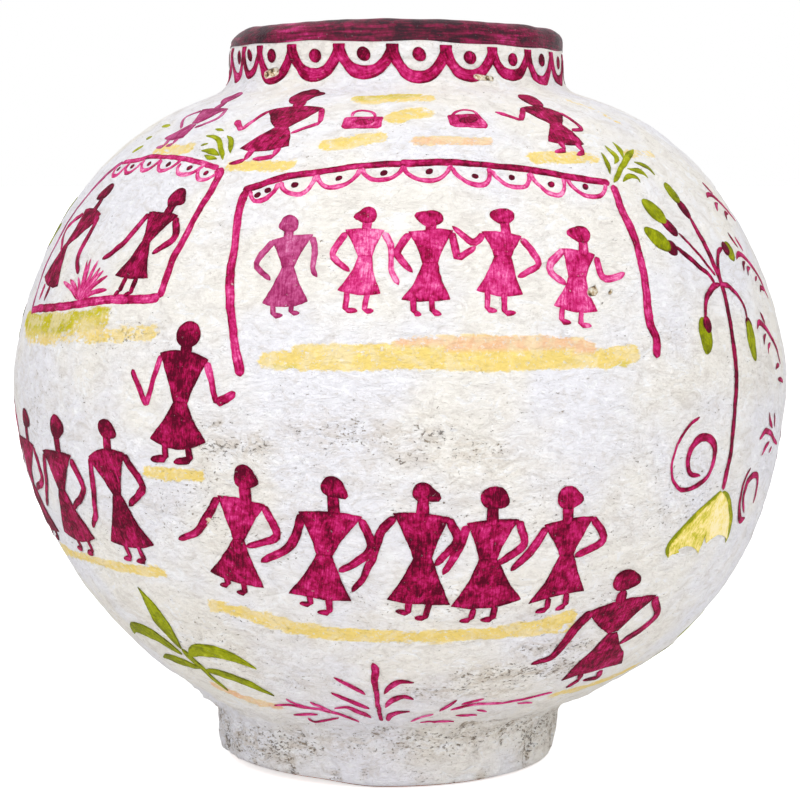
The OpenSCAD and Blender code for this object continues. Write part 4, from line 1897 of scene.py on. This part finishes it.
def framed_scene() -> Painting:
    """Draw the framed scene at the left: its border, its scallops, two people and a grass tuft."""
    frame_lines = strokes(
        0.5, Pigment.MAGENTA, BLUNT,
        ((3.0, 3.4, 3.6), ((-62, -26.5), (-50, -25), (-20, -22.5), (10, -18.5), (35, -17),
                           (42, -16))),
        ((3.6, 3.2, 3.8), ((42, -16), (42.5, 0), (44, 15), (44.5, 30), (43, 40), (40, 44))),
        ((2.6, 2.4, 2.6), ((40, 44), (30, 47), (15, 50), (0, 51.5), (-10, 51.5), (-20, 49.5),
                           (-33, 48))))
    faint = strokes(0.5, Pigment.MAUVE, BLUNT,
                    ((2.4, 2.0, 2.0, 2.6), ((-61, -26), (-62, -14), (-60, 0), (-56, 14),
                                            (-49, 28), (-39, 43), (-33, 48))))
    loops = tuple(
        Scallop((u - w / 2, v + 6.5), (u + w / 2, v + 6.5), (u, v), ((u + d, v + 3.9),), 1.7,
                (2.6, 2.4))
        for u, v, w, d in ((-30, 40, 11, -1), (-19, 42, 11, 0), (-6, 43.5, 13, 0),
                           (8, 43, 13.5, 1), (24, 40.5, 15, 0), (36, 37.5, 11, -0.5)))
    stooping = (
        Patch(((-39, 22), (-38.5, 12), (-42, 4)), ((-19, 20), (-24, 14), (-38, 4)), (1.5, 0), 0.78),
        Patch(((-42, 5), (-48, -3), (-54.5, -11)), ((-38, 5), (-35.5, -4), (-33, -14)), (0, -2), 0.76),
        *strokes(0.6, Pigment.MAGENTA, (Tip.ROUND, Tip.SOFT),
                 ((2.4, 2.0), ((-49, -14), (-52, -21))), ((2.4, 2.0), ((-42, -14.5), (-44, -21))),
                 ((2.4, 2.4, 2.6), ((-39.5, 20), (-51.5, 11), (-44, 2))),
                 ((3.2, 3.4, 3.6, 2.6), ((-20, 19), (-20.5, 10), (-21.5, -1), (-16, -8)))),
        Stroke(((-28.5, 20.5), (-27, 29)), (4.4, 3.8), 0.8),
        Dab((-26, 32), (8.5, 7.2), 0.86, tilt=20, beak=(-33, 28)))
    standing = Figure(waist=(24, 7), waist_width=4.5, shoulders=((17, 21.5), (35, 19.5)),
                      head=(28.5, 28.5), head_size=(8.5, 9.5), beak=(34.3, 26), load=0.78,
                      hem=((12.5, -7.5), (32.5, -8)), hem_bow=-1, arm_width=3, leg_width=2.5,
                      legs=(((20, -9.5), (18.5, -14.5), (15, -17)),
                            ((26, -9.5), (25, -15), (21.5, -16))),
                      arms=(((17.5, 20.5), (12, 10), (6, 3.5), (-1, -1)),
                            ((34.5, 18.5), (38.5, 9.5), (30, 2.5))))
    tuft = strokes(0.3, Pigment.MAGENTA, FINE, *(
        ((2.6, 2.0, 1.6), ((-8, -19), ((-8 + u) / 2, (-19 + v) / 2 + 1), (u, v)))
        for u, v in ((-28, -12), (-22, -10.5), (-15, -9.5), (-12, -2), (-9.5, -1), (-3.5, -1.5),
                     (0, -5), (3, -6), (7, -8), (10, -14))))
    items = frame_lines + faint + loops + stooping + (standing,) + tuft
    return Painting("framed_scene", ((Chart(-50, 232), items),))


def shoulder_people() -> Painting:
    """Draw the bending pair, the baskets between them and the sprigs round the shoulder."""
    bending = (
        Patch(((15.5, 15.5), (22, 7), (28, 0.5)), ((40, 17), (38, 8), (34, 0.5)), (3.0, 0), 0.84),
        Patch(((28, 1.5), (24, -6), (20, -13.5)), ((34, 1.5), (39, -6), (42, -12)), (0, -2.2), 0.76),
        *strokes(0.46, Pigment.MAGENTA, (Tip.ROUND, Tip.SOFT),
                 ((3.0, 3.0), ((26.5, -13), (26.5, -20.5))), ((3.0, 2.2), ((26.5, -20.5), (20, -22.5))),
                 ((3.0, 3.0), ((38, -13), (39, -18))), ((3.0, 2.2), ((39, -18), (30, -20))),
                 ((2.4, 2.0, 2.2), ((16, 15), (12.5, -0.5))),
                 ((2.4, 2.8, 3.8), ((12.5, -0.5), (4, 7))),
                 ((2.6, 2.2), ((40, 16), (46.5, 4))), ((2.2, 1.8), ((46.5, 4), (38, -4)))),
        Stroke(((28, 18), (24.5, 26)), (5.2, 4.4), 0.66),
        Dab((22.6, 30), (11, 17.5), 0.82, tilt=14, beak=(30.5, 33)))
    faint = (
        Patch(((-29, 18), (-23, 5.5)), ((-9.5, 18), (-19, 5.5)), (1, 0), 0.55, Pigment.MAUVE),
        Patch(((-23, 4.5), (-33.5, -5.5)), ((-19, 4.5), (-19.5, -5)), (0, -1.5), 0.5, Pigment.MAUVE),
        *strokes(0.4, Pigment.MAUVE, (Tip.ROUND, Tip.SOFT),
                 ((2.6, 2.2), ((-29, -5), (-29, -11))), ((2.4, 1.8), ((-29, -11), (-33.5, -12))),
                 ((2.4, 2.0), ((-23, -5), (-23, -9.5))), ((2.2, 1.6), ((-23, -9.5), (-27, -11))),
                 ((2.2, 1.8, 1.8), ((-29, 17), (-36.5, 11), (-28, 2))),
                 ((1.8, 1.6, 1.6), ((-10, 17), (-9, 9), (-18, 2)))),
        Stroke(((-19, 18), (-20, 27)), (4.0, 3.4), 0.55, Pigment.MAUVE),
        Dab((-21.3, 31), (8, 13), 0.55, Pigment.MAUVE, tilt=6, beak=(-22, 38)))
    blades = strokes(0.5, Pigment.GREEN, FINE,
                     ((1.2, 2.2, 2.0), ((-5, -4.5), (4, -7), (10, -13), (15.5, -20))),
                     ((1.4, 2.4, 2.2), ((7, -4.5), (11.5, -7.5), (17, -16))),
                     ((2.4, 3.2), ((-3, 0.5), (3, -1.2))), ((2.0, 2.6), ((-2.5, -11), (1, -10))),
                     ((1.6, 3.2, 2.4), ((0, -14.5), (6.5, -15), (12, -17.5))),
                     ((1.6, 2.8, 2.4), ((4, -17.5), (12, -19.8))))
    old = strokes(0.3, Pigment.GREEN, (Tip.SOFT, Tip.SOFT),
                  ((2.2, 2.6), ((-51, 4), (-43, 5))), ((2.2, 2.4), ((-55, -5), (-49, -4))),
                  ((2.0, 2.4), ((-55, -14.5), (-49, -10))))
    baskets = (
        Basket(((-21.7, -0.8), (-7, -0.4)), ((-23.3, -8.8), (-8.3, -8.8)),
               ((-19.6, 0), (-18, 3.3), (-14.6, 4.8), (-10.8, 3), (-9.6, -0.4))),
        Basket(((20.4, 0.8), (32.5, 1.7)), ((21.7, -7.5), (36.3, -8)),
               ((22, 0.4), (24.2, 4.2), (28, 5.8), (31.3, 4.6), (33, 1.7))))
    stooping = (
        Patch(((-13.6, 17.7), (-13.4, 11.4), (-9.5, 2)), ((1, 16.5), (3, 11.5), (-4.5, 2)), (1.5, 0),
              0.8),
        Patch(((-10, 3), (-14, -2), (-19, -9)), ((-4.5, 3), (-2.8, -3), (-2, -11)), (0, -1.6), 0.72),
        *strokes(0.48, Pigment.MAGENTA, (Tip.ROUND, Tip.SOFT),
                 ((3.0, 2.6), ((-13.6, -9), (-13.6, -14.5))), ((2.6, 2.0), ((-13.6, -14.5), (-19.8, -16))),
                 ((3.0, 2.6), ((-5.5, -10), (-5, -16))), ((2.6, 2.0), ((-5, -16), (-9.8, -17.4))),
                 ((2.4, 2.2, 2.2), ((-13, 17), (-22, 6.2))), ((2.2, 2.2, 3.0), ((-22, 6.2), (-29.5, 12.7))),
                 ((2.4, 2.2, 2.0), ((3, 12.5), (4.8, 0.5), (-2.5, -2.7)))),
        Stroke(((-4.5, 15), (-3.8, 20)), (5.2, 4.6), 0.7),
        Dab((-2.5, 25), (9, 15), 0.76, tilt=-15))
    palm = strokes(0.5, Pigment.GREEN, FINE,
                   ((1.6, 2.2, 2.8, 3.0), ((0.5, -33), (9, -26), (19, -18.6), (27, -13.8))),
                   ((1.6, 2.8, 2.2), ((1.4, -28.6), (3.6, -23), (4.5, -16))),
                   ((2.0, 3.8, 2.6), ((8, -22.7), (11.8, -18.6), (10, -11.5))),
                   ((2.2, 3.8, 3.0), ((15.8, -19.5), (17.6, -14.5), (17, -9))),
                   ((1.4, 2.4, 2.0), ((6, -32.3), (11.8, -29.5), (16.8, -30), (17.3, -32.7))),
                   ((1.6, 2.8, 2.2), ((14, -25.2), (21.8, -26.8), (24.5, -30))),
                   ((1.6, 2.6, 2.0), ((21, -21.3), (28.2, -24.5), (30.5, -28.6))))
    return Painting("shoulder_people", (
        (Chart(-40, 285), bending + faint + blades + old), (Chart(0, 290), baskets),
        (Chart(38, 285), stooping + palm)))


def tall_plant() -> Painting:
    """Draw the tall plant with its buds, its striped leaf and its two spirals."""
    stems = strokes(
        0.76, Pigment.MAGENTA, DRAWN,
        ((2.8, 2.8, 3.2, 3.0, 3.2, 3.2), ((-6, -75.5), (-4.8, -61), (-4, -50), (-3.3, -39), (-2, -28),
                                          (-0.8, -16.5), (-0.3, -8), (0.8, 2), (1.4, 9),
                                          (1.7, 16.5), (0.5, 28), (-1, 39), (-1.3, 44))),
        ((1.8, 2.2, 2.4, 2.2), ((-3.7, 11.7), (-7.2, 16.7), (-11.7, 20), (-18.3, 25.5), (-23, 29))),
        ((1.4, 1.2, 1.2), ((-1, 15.5), (-6, 22), (-11.7, 29.4), (-16, 35))),
        ((2.2, 2.2, 2.0), ((1.2, 12), (2.2, 15), (5.5, 21), (9.4, 25.5), (15, 27))),
        ((1.6, 2.4, 2.8, 2.4), ((-18.3, -2.5), (-14, 5), (-8.3, 9.4), (-2.8, 11.1), (0.5, 11.1))),
        ((2.4, 2.0, 1.6, 1.2), ((0, 11.1), (6, 10.5), (10.5, 8.3), (15, 4.4), (17, 0),
                                (16.3, -5.5))))
    leaves = (
        Dab((21, 25.5), (7.5, 9), 0.66, Pigment.GREEN),
        Dab((-20.3, -9), (8.5, 14), 0.66, Pigment.GREEN, beak=(-22.3, -17.5)),
        Dab((16.9, -13), (8, 15), 0.66, Pigment.GREEN, beak=(18, -22.5)),
        Dab((-31, 32), (13, 8.5), 0.66, Pigment.GREEN, tilt=-38, beak=(-36.8, 37.2)),
        Dab((-24.5, 45.5), (9, 13), 0.66, Pigment.GREEN, tilt=35, beak=(-28.6, 51)),
        Dab((-3.9, 54.5), (6, 10), 0.66, Pigment.GREEN, tilt=8, beak=(-4.6, 60)))
    buds = tuple(Dab(centre, size, 0.96, tilt=tilt) for centre, size, tilt in (
        ((17.6, 26.7), (6, 6), 0), ((-17.8, -5.2), (6, 7), 0), ((17, -8.5), (6.5, 9), 0),
        ((-25.5, 28.3), (7.5, 7), -35), ((-20, 38.3), (6.5, 10.5), 35), ((-2.2, 46.5), (5.5, 10), 8)))
    sprays = strokes(
        0.6, Pigment.MAGENTA, FINE,
        ((2.6, 2.2, 1.4), ((25, 22), (29.4, 23.5), (34, 23.3), (40.5, 20.2), (49.4, 13.3),
                           (57.2, 2.2))),
        ((2.0, 1.4), ((28.5, 34), (33.3, 27))), ((2.0, 1.4), ((35.5, 31.6), (39.4, 25))),
        ((1.8, 2.2, 1.4), ((28.3, 16), (31.6, 18.9), (35.5, 19.8))),
        ((1.8, 2.2, 1.4), ((32.2, 13.9), (35, 16.7), (39.4, 17))),
        ((2.0, 1.6), ((40.5, 11), (46, 12.8))),
        ((1.8, 2.2, 1.4), ((43.3, 6), (47.2, 7.8), (53.9, 6))),
        ((2.6, 2.2, 1.4), ((25, -9.4), (28.3, -7.2), (32.8, -7.8), (40.5, -11.7), (48.3, -18.9),
                           (55, -26.7))),
        ((2.0, 1.4), ((33.9, -2.8), (37.8, -7.8))),
        ((1.8, 2.2, 1.4), ((30, -16.7), (31.7, -13.9), (35.5, -12.4))),
        ((1.8, 2.2, 1.4), ((35, -21), (36, -17.8), (41, -16.7))),
        ((1.8, 2.2, 1.4), ((43.3, -28.3), (46.7, -26.9), (52.2, -27.2))),
        ((1.8, 2.0, 1.4), ((46.7, -32.8), (52.8, -33.3), (59.4, -35))),
        ((2.6, 2.2, 1.4), ((23.3, -56.7), (28.3, -53.9), (32.8, -54.2), (40.5, -56), (48.3, -59.4),
                           (56, -62.2))),
        ((2.0, 2.2, 1.4), ((32.8, -46), (36, -50.5), (41, -53.3))),
        ((2.0, 1.6), ((41, -46.7), (45.5, -53.9))),
        ((1.8, 2.2, 1.4), ((29.2, -64.4), (32.8, -61), (38.3, -59.4))),
        ((2.0, 1.6), ((40.5, -64.4), (44.4, -61.7))),
        ((2.4, 2.2, 1.4), ((28, 52), (33, 53.5), (39, 52.5), (46, 48), (54, 39))),
        ((1.8, 2.2, 1.4), ((31, 45), (34.5, 48), (39, 48.5))),
        ((1.8, 2.2, 1.4), ((38, 40), (42, 43.5), (47, 43))),
        ((2.0, 1.4), ((36, 60), (41, 54))))
    leaf = (
        Patch(((-6.5, -10.5), (-13, -14.5), (-20, -19), (-27, -24.5), (-34, -32), (-33, -37)),
              ((-6.5, -10.5), (-8, -14), (-9.5, -22), (-11.5, -30), (-12.5, -38)), (0, 4.5), 0.36,
              Pigment.STRAW),
        Patch(((-6.5, -10.5), (-8, -14), (-9.5, -22), (-11.2, -29), (-9, -33.5)),
              ((-6.5, -10.5), (-2, -14), (2, -19), (5.5, -24.5), (9, -34)), (0, 3), 0.2,
              Pigment.STRAW),
        *strokes(0.9, Pigment.STRAW, DRAWN,
                 ((2.2, 4.0, 4.2, 2.4), ((-6.5, -10.5), (-13, -14.5), (-20, -19), (-27, -24.5),
                                         (-32, -28.5), (-35, -33), (-33, -37.5))),
                 ((3.2, 6.4, 7.0, 5.4), ((-6, -11), (-2, -14), (2, -19), (5.5, -24.5), (8.2, -30),
                                         (9.6, -36)))),
        *strokes(0.55, Pigment.STRAW, DRAWN,
                 ((3.0, 4.5, 4.0), ((-30, -30), (-31, -34), (-27, -35.5))),
                 ((1.0, 0.9, 0.8), ((-8, -14), (-9.5, -22), (-11.5, -30), (-12.5, -37)))))
    spirals = strokes(
        0.62, Pigment.MAGENTA, FINE,
        ((1.0, 1.1, 1.2, 1.4, 1.8, 2.2, 3.4, 3.2, 2.2, 1.4),
         ((-29.5, 22.7), (-35, 20), (-40, 15), (-43.5, 8), (-43, 0), (-39, -5), (-33.5, -7.2),
          (-27, -6.2), (-21, -3.5), (-17.5, 1.5), (-16.8, 7.5), (-19.3, 12), (-24, 14.2),
          (-29.3, 13.5), (-33.3, 10), (-34.3, 4.5), (-31.5, -0.3), (-25, -2))),
        ((1.0, 1.4, 2.2, 3.0, 2.4), ((17.7, -2.7), (14.2, -7.3), (12.7, -12.7), (13, -18),
                                     (15.4, -23.5), (19.2, -26.5), (24, -26.2))),
        ((1.6, 2.2, 3.0, 2.2, 1.2), ((20.8, -23.5), (17.3, -18.8), (15.8, -14.2), (17, -9.6),
                                     (20, -7.3), (23.8, -6.5), (28.5, -8), (30.8, -12),
                                     (32, -16.5), (30.8, -20.4))))
    return Painting("tall_plant", ((Chart(54, 210), leaves + stems + buds + sprays),
                                   (Chart(54, 145), leaf + spirals)))


def leaf_spray() -> Painting:
    """Draw the spray of long green leaves near the foot."""
    leaves = strokes(
        0.62, Pigment.GREEN, (Tip.SOFT, Tip.POINT),
        ((3.0, 7.0, 11.0, 10.0, 5.0), ((-5.5, 9), (-7, 22), (-7.5, 34), (-10.8, 43.5))),
        ((2.6, 6.5, 8.5, 7.0, 3.0), ((-8, 5), (-17, 12.5), (-28, 16.5), (-36, 16), (-42, 10.5))),
        ((2.6, 7.0, 8.5, 7.0, 3.0), ((-3, 5.5), (5, 10), (15, 11), (24, 8.5), (31.5, 2.5))),
        ((2.6, 6.0, 7.0, 5.0), ((-3, -4), (-13, -2), (-22, -1), (-29, -2.5))),
        ((2.4, 5.5, 6.2, 5.0, 2.4), ((0, -5), (8, -5.5), (17, -9), (24, -13.5), (29, -18))),
        ((4.0, 3.4, 2.6, 1.6), ((-5, 9), (-4, 5), (-2, -3), (-0.5, -10), (2, -20.5))))
    return Painting("leaf_spray", ((Chart(-42, 60), leaves),))


def low_sprig() -> Painting:
    """Draw the magenta sprig over the foot, with its twigs spread to both sides."""
    sprig = strokes(
        0.6, Pigment.MAGENTA, (Tip.SOFT, Tip.SOFT),
        ((2.8, 3.4, 2.3, 2.3, 1.9, 1.9, 1.7, 1.2), ((-5.9, 8.3), (-5.2, 3.3), (-5.6, -4.4),
                                                    (-4.8, -13.3), (-3.9, -24.4), (-2.4, -30),
                                                    (-1.8, -36), (0, -45))))
    sprig += strokes(
        0.5, Pigment.MAGENTA, FINE,
        ((1.4, 2.0, 1.9), ((-22.8, -2.8), (-17.8, -6.7), (-12.2, -11.7), (-9.4, -15.5))),
        ((1.4, 2.3, 2.2), ((-23.9, -14.7), (-17.8, -19.4), (-11, -25.5), (-6.7, -28.9))),
        ((1.4, 2.5, 2.5), ((-21.3, -29.9), (-16.3, -28.1), (-10.6, -33.3), (-4.8, -40.7))),
        ((2.3, 3.1, 1.7), ((-1.7, -15), (0.6, -8.9), (4.4, -4.4), (10.5, -5))),
        ((2.0, 3.4, 1.9), ((0, -27.8), (1.7, -21.7), (6.7, -17.2), (11, -20))),
        ((1.9, 2.8, 2.3), ((2.5, -45.6), (2.7, -36.1), (6, -32), (10.8, -30.9))))
    twigs = strokes(
        0.36, Pigment.MAGENTA, FINE,
        ((1.7, 1.4, 0.9), ((-49.1, -31.3), (-37.8, -29.9), (-22.9, -33.7), (-9.6, -44.5))),
        ((1.0, 0.9), ((-43.6, -23.2), (-39.1, -27.1), (-28.3, -32.3))),
        ((1.4, 1.1), ((-32.5, -24.3), (-23.1, -32.7), (-19, -35.4))),
        ((2.3, 2.0), ((-39.2, -40), (-28.1, -37.2))),
        ((2.3, 2.0, 1.1), ((-32.5, -43.5), (-29.2, -46.6), (-18.7, -40.3))),
        ((1.0, 1.0), ((12.6, -44.2), (16.7, -38.9), (20.9, -35.1))),
        ((1.7, 1.6, 1.2), ((23.2, -32.3), (27.4, -25), (29.5, -21.8))),
        ((1.4, 1.1), ((32, -26.4), (41.2, -21.1))),
        ((1.1, 1.7, 2.3), ((28, -31.6), (38.3, -26.4), (51.6, -27.1))),
        ((2.0, 1.7), ((30.9, -38.2), (41.1, -40.7))), ((1.7, 1.4), ((40.1, -33), (44.8, -35.4))),
        ((0.9, 1.9, 2.3), ((16.4, -46.6), (25.5, -48.3), (31.3, -47.6))),
        ((1.1, 1.2, 0.9), ((50, -27), (62, -24), (74, -21))),
        ((1.6, 1.2), ((58, -29), (66, -31.5))))
    return Painting("low_sprig", ((Chart(-3, 62), sprig + twigs),))


def neck_scallops() -> Painting:
    """Draw the thick scallops and dots that hang from the lip's paint round the neck."""
    middles = [-66, -58, -45.5, -27, -10, 8, 24.8, 41.5, 56.8, 71.5]
    step = (294 - 71.5) / 13
    middles += [71.5 + step * index for index in range(1, 13)]
    parts = []
    for index, middle in enumerate(middles):
        before = middles[index - 1] - (360 if index == 0 else 0)
        after = middles[(index + 1) % len(middles)] + (360 if index == len(middles) - 1 else 0)
        left = math.radians((before - middle) / 2) * 78.5
        right = math.radians((after - middle) / 2) * 78.5
        low = -3.6 + 1.1 * math.sin(index * 2.1)
        narrow = min(right - left, 23) / 23
        parts.append((Chart(middle, 312), (
            Scallop((left, 11), (right, 11), ((left + right) / 2 * 0.6, low), (), 4.9 * narrow,
                    load=0.68, flare=1.3),
            Dab((0.4 * math.sin(index), 4.8 + 0.5 * math.sin(index * 1.7)),
                (5.8 * narrow, 5.3), 0.86, tilt=40 * math.sin(index)))))
    return Painting("neck_scallops", tuple(parts), 3.0)


def paintings() -> list[Painting]:
    """List everything that is painted, first what the photograph shows and then the far side.

    Returns:
        The paintings.
    """
    dancers, sides, lead, reaching = (belly_dancers(), side_dancers(), lead_dancer(),
                                      reaching_dancer())
    roof, guests, scene, band = canopy(), canopy_guests(), framed_scene(), shoulder_people()
    plant, leaves, sprig = tall_plant(), leaf_spray(), low_sprig()
    front = [dancers, sides, lead, reaching, roof, guests, scene, band, plant, leaves, sprig,
             neck_scallops()]
    back = [
        dancers.turned("belly_dancers_behind", 180, True),
        dancers.turned("belly_dancers_behind_left", 242, seed=3),
        sides.turned("side_dancers_right", 44, True),
        lead.turned("lead_dancer_right", 121, True),
        lead.turned("lead_dancer_behind", 244, seed=5),
        lead.turned("lead_dancer_left", 267, raised=45, seed=6),
        reaching.turned("reaching_dancer_behind", 180, True),
        roof.turned("canopy_behind", 180, True),
        guests.turned("canopy_guests_behind", 180, True),
        scene.turned("framed_scene_right", 60, True),
        band.turned("shoulder_people_behind", 180, True),
        plant.turned("tall_plant_left", 323, True),
        leaves.turned("leaf_spray_right", 40, True),
        leaves.turned("leaf_spray_behind", 208, seed=8),
        leaves.turned("leaf_spray_left", 220, True),
        sprig.turned("low_sprig_right", 124, seed=9),
        sprig.turned("low_sprig_behind", 216, seed=10),
    ]
    return front + back


def washes() -> list[Smear]:
    """List the soft yellow and orange grounds under the figures, and the soil and chips.

    Returns:
        The smears, in no order.
    """
    yellow, lemon, orange = Stain.YELLOW, Stain.LEMON, Stain.ORANGE
    low, high = Chart(-14, 115), Chart(0, 290)
    front = [
        Smear(yellow, Chart(-6, 225), ((-20, -31.5), (5, -31), (34, -31)), 13),
        Smear(yellow, Chart(-6, 225), ((-36, -32.5), (-18, -31.5)), 7, 0.9),
        Smear(Stain.GOLD, Chart(-6, 225), ((-30, -34), (-14, -34)), 5, 0.7),
        Smear(yellow, Chart(16, 225), ((-40, -31), (-10, -32.5), (20, -32)), 11),
        Smear(orange, Chart(16, 225), ((-48, -27), (-20, -26), (10, -26.5), (30, -29)), 9, 0.85),
        Smear(yellow, Chart(16, 225), ((22, -32), (36, -33), (50, -31)), 10, 0.85),
        Smear(Stain.GOLD, Chart(16, 225), ((36, -35), (46, -35)), 5, 0.7),
        Smear(yellow, low, ((-44, -27), (-26, -31), (-8, -36), (8, -38), (38, -39)), 8.5),
        Smear(yellow, Chart(12, 115), ((-38, -38.5), (-20, -39), (0, -38), (22, -36), (38, -32)),
              8.5),
        Smear(yellow, Chart(-55, 125), ((-46, -25), (-10, -23), (20, -24), (46, -23)), 6.5, 0.85),
        Smear(yellow, Chart(-29, 170), ((-21, -24), (4, -23.5)), 6.5),
        Smear(lemon, Chart(-50, 232), ((-66, -31), (-40, -31), (-12, -29.5)), 10.5),
        Smear(lemon, Chart(-50, 232), ((-20, -27), (14, -23)), 4.5, 0.9),
        Smear(Stain.GOLD, Chart(-50, 232), ((-62, -35), (-30, -34), (14, -27)), 8, 0.8),
        Smear(yellow, Chart(-50, 232), ((-54, -38), (-20, -36), (42, -31)), 9, 0.6),
        Smear(yellow, Chart(-40, 285), ((-30, -13), (-10, -13)), 10, 0.6),
        Smear(yellow, Chart(-40, 285), ((22, -23.5), (48, -23)), 7, 0.8),
        Smear(Stain.GOLD, high, ((-16, 18), (-4, 20), (8, 22)), 8, 0.9),
        Smear(yellow, high, ((-14, 17), (12, 18)), 11, 0.8),
        Smear(yellow, high, ((-1, -2), (3, 2), (10, 4)), 12, 0.85),
        Smear(yellow, high, ((-30, -21), (-18, -18), (-9, -16)), 9, 0.8),
        Smear(orange, high, ((7, -18), (36, -18)), 7, 0.8),
        Smear(yellow, Chart(38, 285), ((-31, -19), (-2, -19)), 9, 0.8),
        Smear(yellow, Chart(38, 285), ((22, 26), (31, 19), (38, 6)), 5, 0.4),
        Smear(yellow, Chart(38, 285), ((20, -16), (40, -16)), 7, 0.5),
        Smear(orange, Chart(-42, 60), ((-5, -19), (5, -24), (15, -27), (24, -31)), 8, 0.8),
        Smear(yellow, Chart(30, 75), ((-48, 7), (-6, 8)), 8, 0.5),
        Smear(yellow, Chart(30, 40), ((12, 8), (36, 12), (60, 18)), 8, 0.8),
    ]
    back = [(180, True, (225, 285, 290, 115, 40)), (242, False, (115,)), (44, True, (125,)),
            (121, True, (170,)), (244, False, (170,)), (60, True, (232,)),
            (40, True, (60,)), (208, False, (60,)), (220, True, (60,))]
    turned = [Smear(s.stain, s.chart.turned(by, mirrored, 0), s.line, s.width, s.strength)
              for by, mirrored, heights in back for s in front if s.chart.height in heights]
    soils = [
        (-30, 128, 60, 0.35), (-6, 150, 80, 0.35), (20, 140, 80, 0.3), (12, 90, 70, 0.4),
        (40, 130, 60, 0.35), (-45, 70, 60, 0.35), (-20, 80, 60, 0.3), (50, 180, 60, 0.25),
        (-60, 170, 60, 0.3), (100, 110, 90, 0.4), (160, 120, 90, 0.4), (220, 110, 90, 0.4),
        (-22, 159, 18, 1.0), (-26, 167, 9, 1.0), (-9, 167, 22, 0.6), (-2, 164, 30, 0.7),
        (7, 158, 26, 0.7), (22, 60, 34, 1.0), (13, 52, 30, 0.8), (28, 94, 14, 0.5),
        (27, 72, 22, 0.9), (-20, 56, 26, 0.5), (-49, 10, 22, 1.0), (-38, 16, 26, 1.0),
        (41, 23, 20, 0.8), (10, 20, 34, 0.7), (-15, 22, 30, 0.7), (36, 108, 14, 0.4),
        (44, 200, 20, 0.4), (-40, 200, 24, 0.5), (-57, 200, 20, 0.5), (-15, 236, 20, 0.3),
        (100, 160, 30, 0.8), (140, 90, 40, 0.8), (190, 150, 34, 0.8), (230, 60, 40, 0.9),
        (270, 170, 30, 0.7), (75, 18, 40, 0.9), (120, 16, 40, 0.8), (170, 20, 44, 0.9),
        (220, 14, 40, 0.8), (270, 20, 40, 0.9), (310, 12, 30, 0.9)]
    dirt = [Smear(Stain.SOIL, Chart(azimuth, height), ((-wide * 0.7, 0), (wide * 0.7, 1)), wide,
                  strength, 1.0) for azimuth, height, wide, strength in soils]
    chips = [Smear(Stain.CHIP, Chart(-45.5, 312), ((-3, -3), (3, -2)), 6, 1.0, 0.9),
             Smear(Stain.CHIP, Chart(30, 308), ((-4, 0), (4, -1)), 5, 1.0, 0.9),
             Smear(Stain.CHIP, Chart(16, 225), ((33, -6), (34.5, -5)), 7, 1.0, 0.9),
             Smear(Stain.CHIP, Chart(16, 225), ((38, -10), (39, -9.5)), 2.6, 1.0, 0.9),
             Smear(Stain.CHIP, Chart(16, 225), ((42, -5.5), (43, -5)), 2.6, 1.0, 0.9),
             Smear(Stain.CHIP, Chart(-14, 115), ((-38, 15), (-38, 13)), 4, 1.0, 0.9)]
    return front + turned + dirt + chips


def main() -> None:
    """Build the whole jar, its paint and its stage."""
    logging.basicConfig(level=logging.INFO, format="%(name)s: %(message)s")
    for pigment in Pigment:
        PAINTS[pigment] = pigment.value.material()
    ClayBody().build()
    coat = WhiteCoat(smears=washes())
    coat.build()
    LipCoat().build()
    for painting in paintings():
        painting.build(coat)
    Stage().build()


if __name__ == "__main__":
    main()
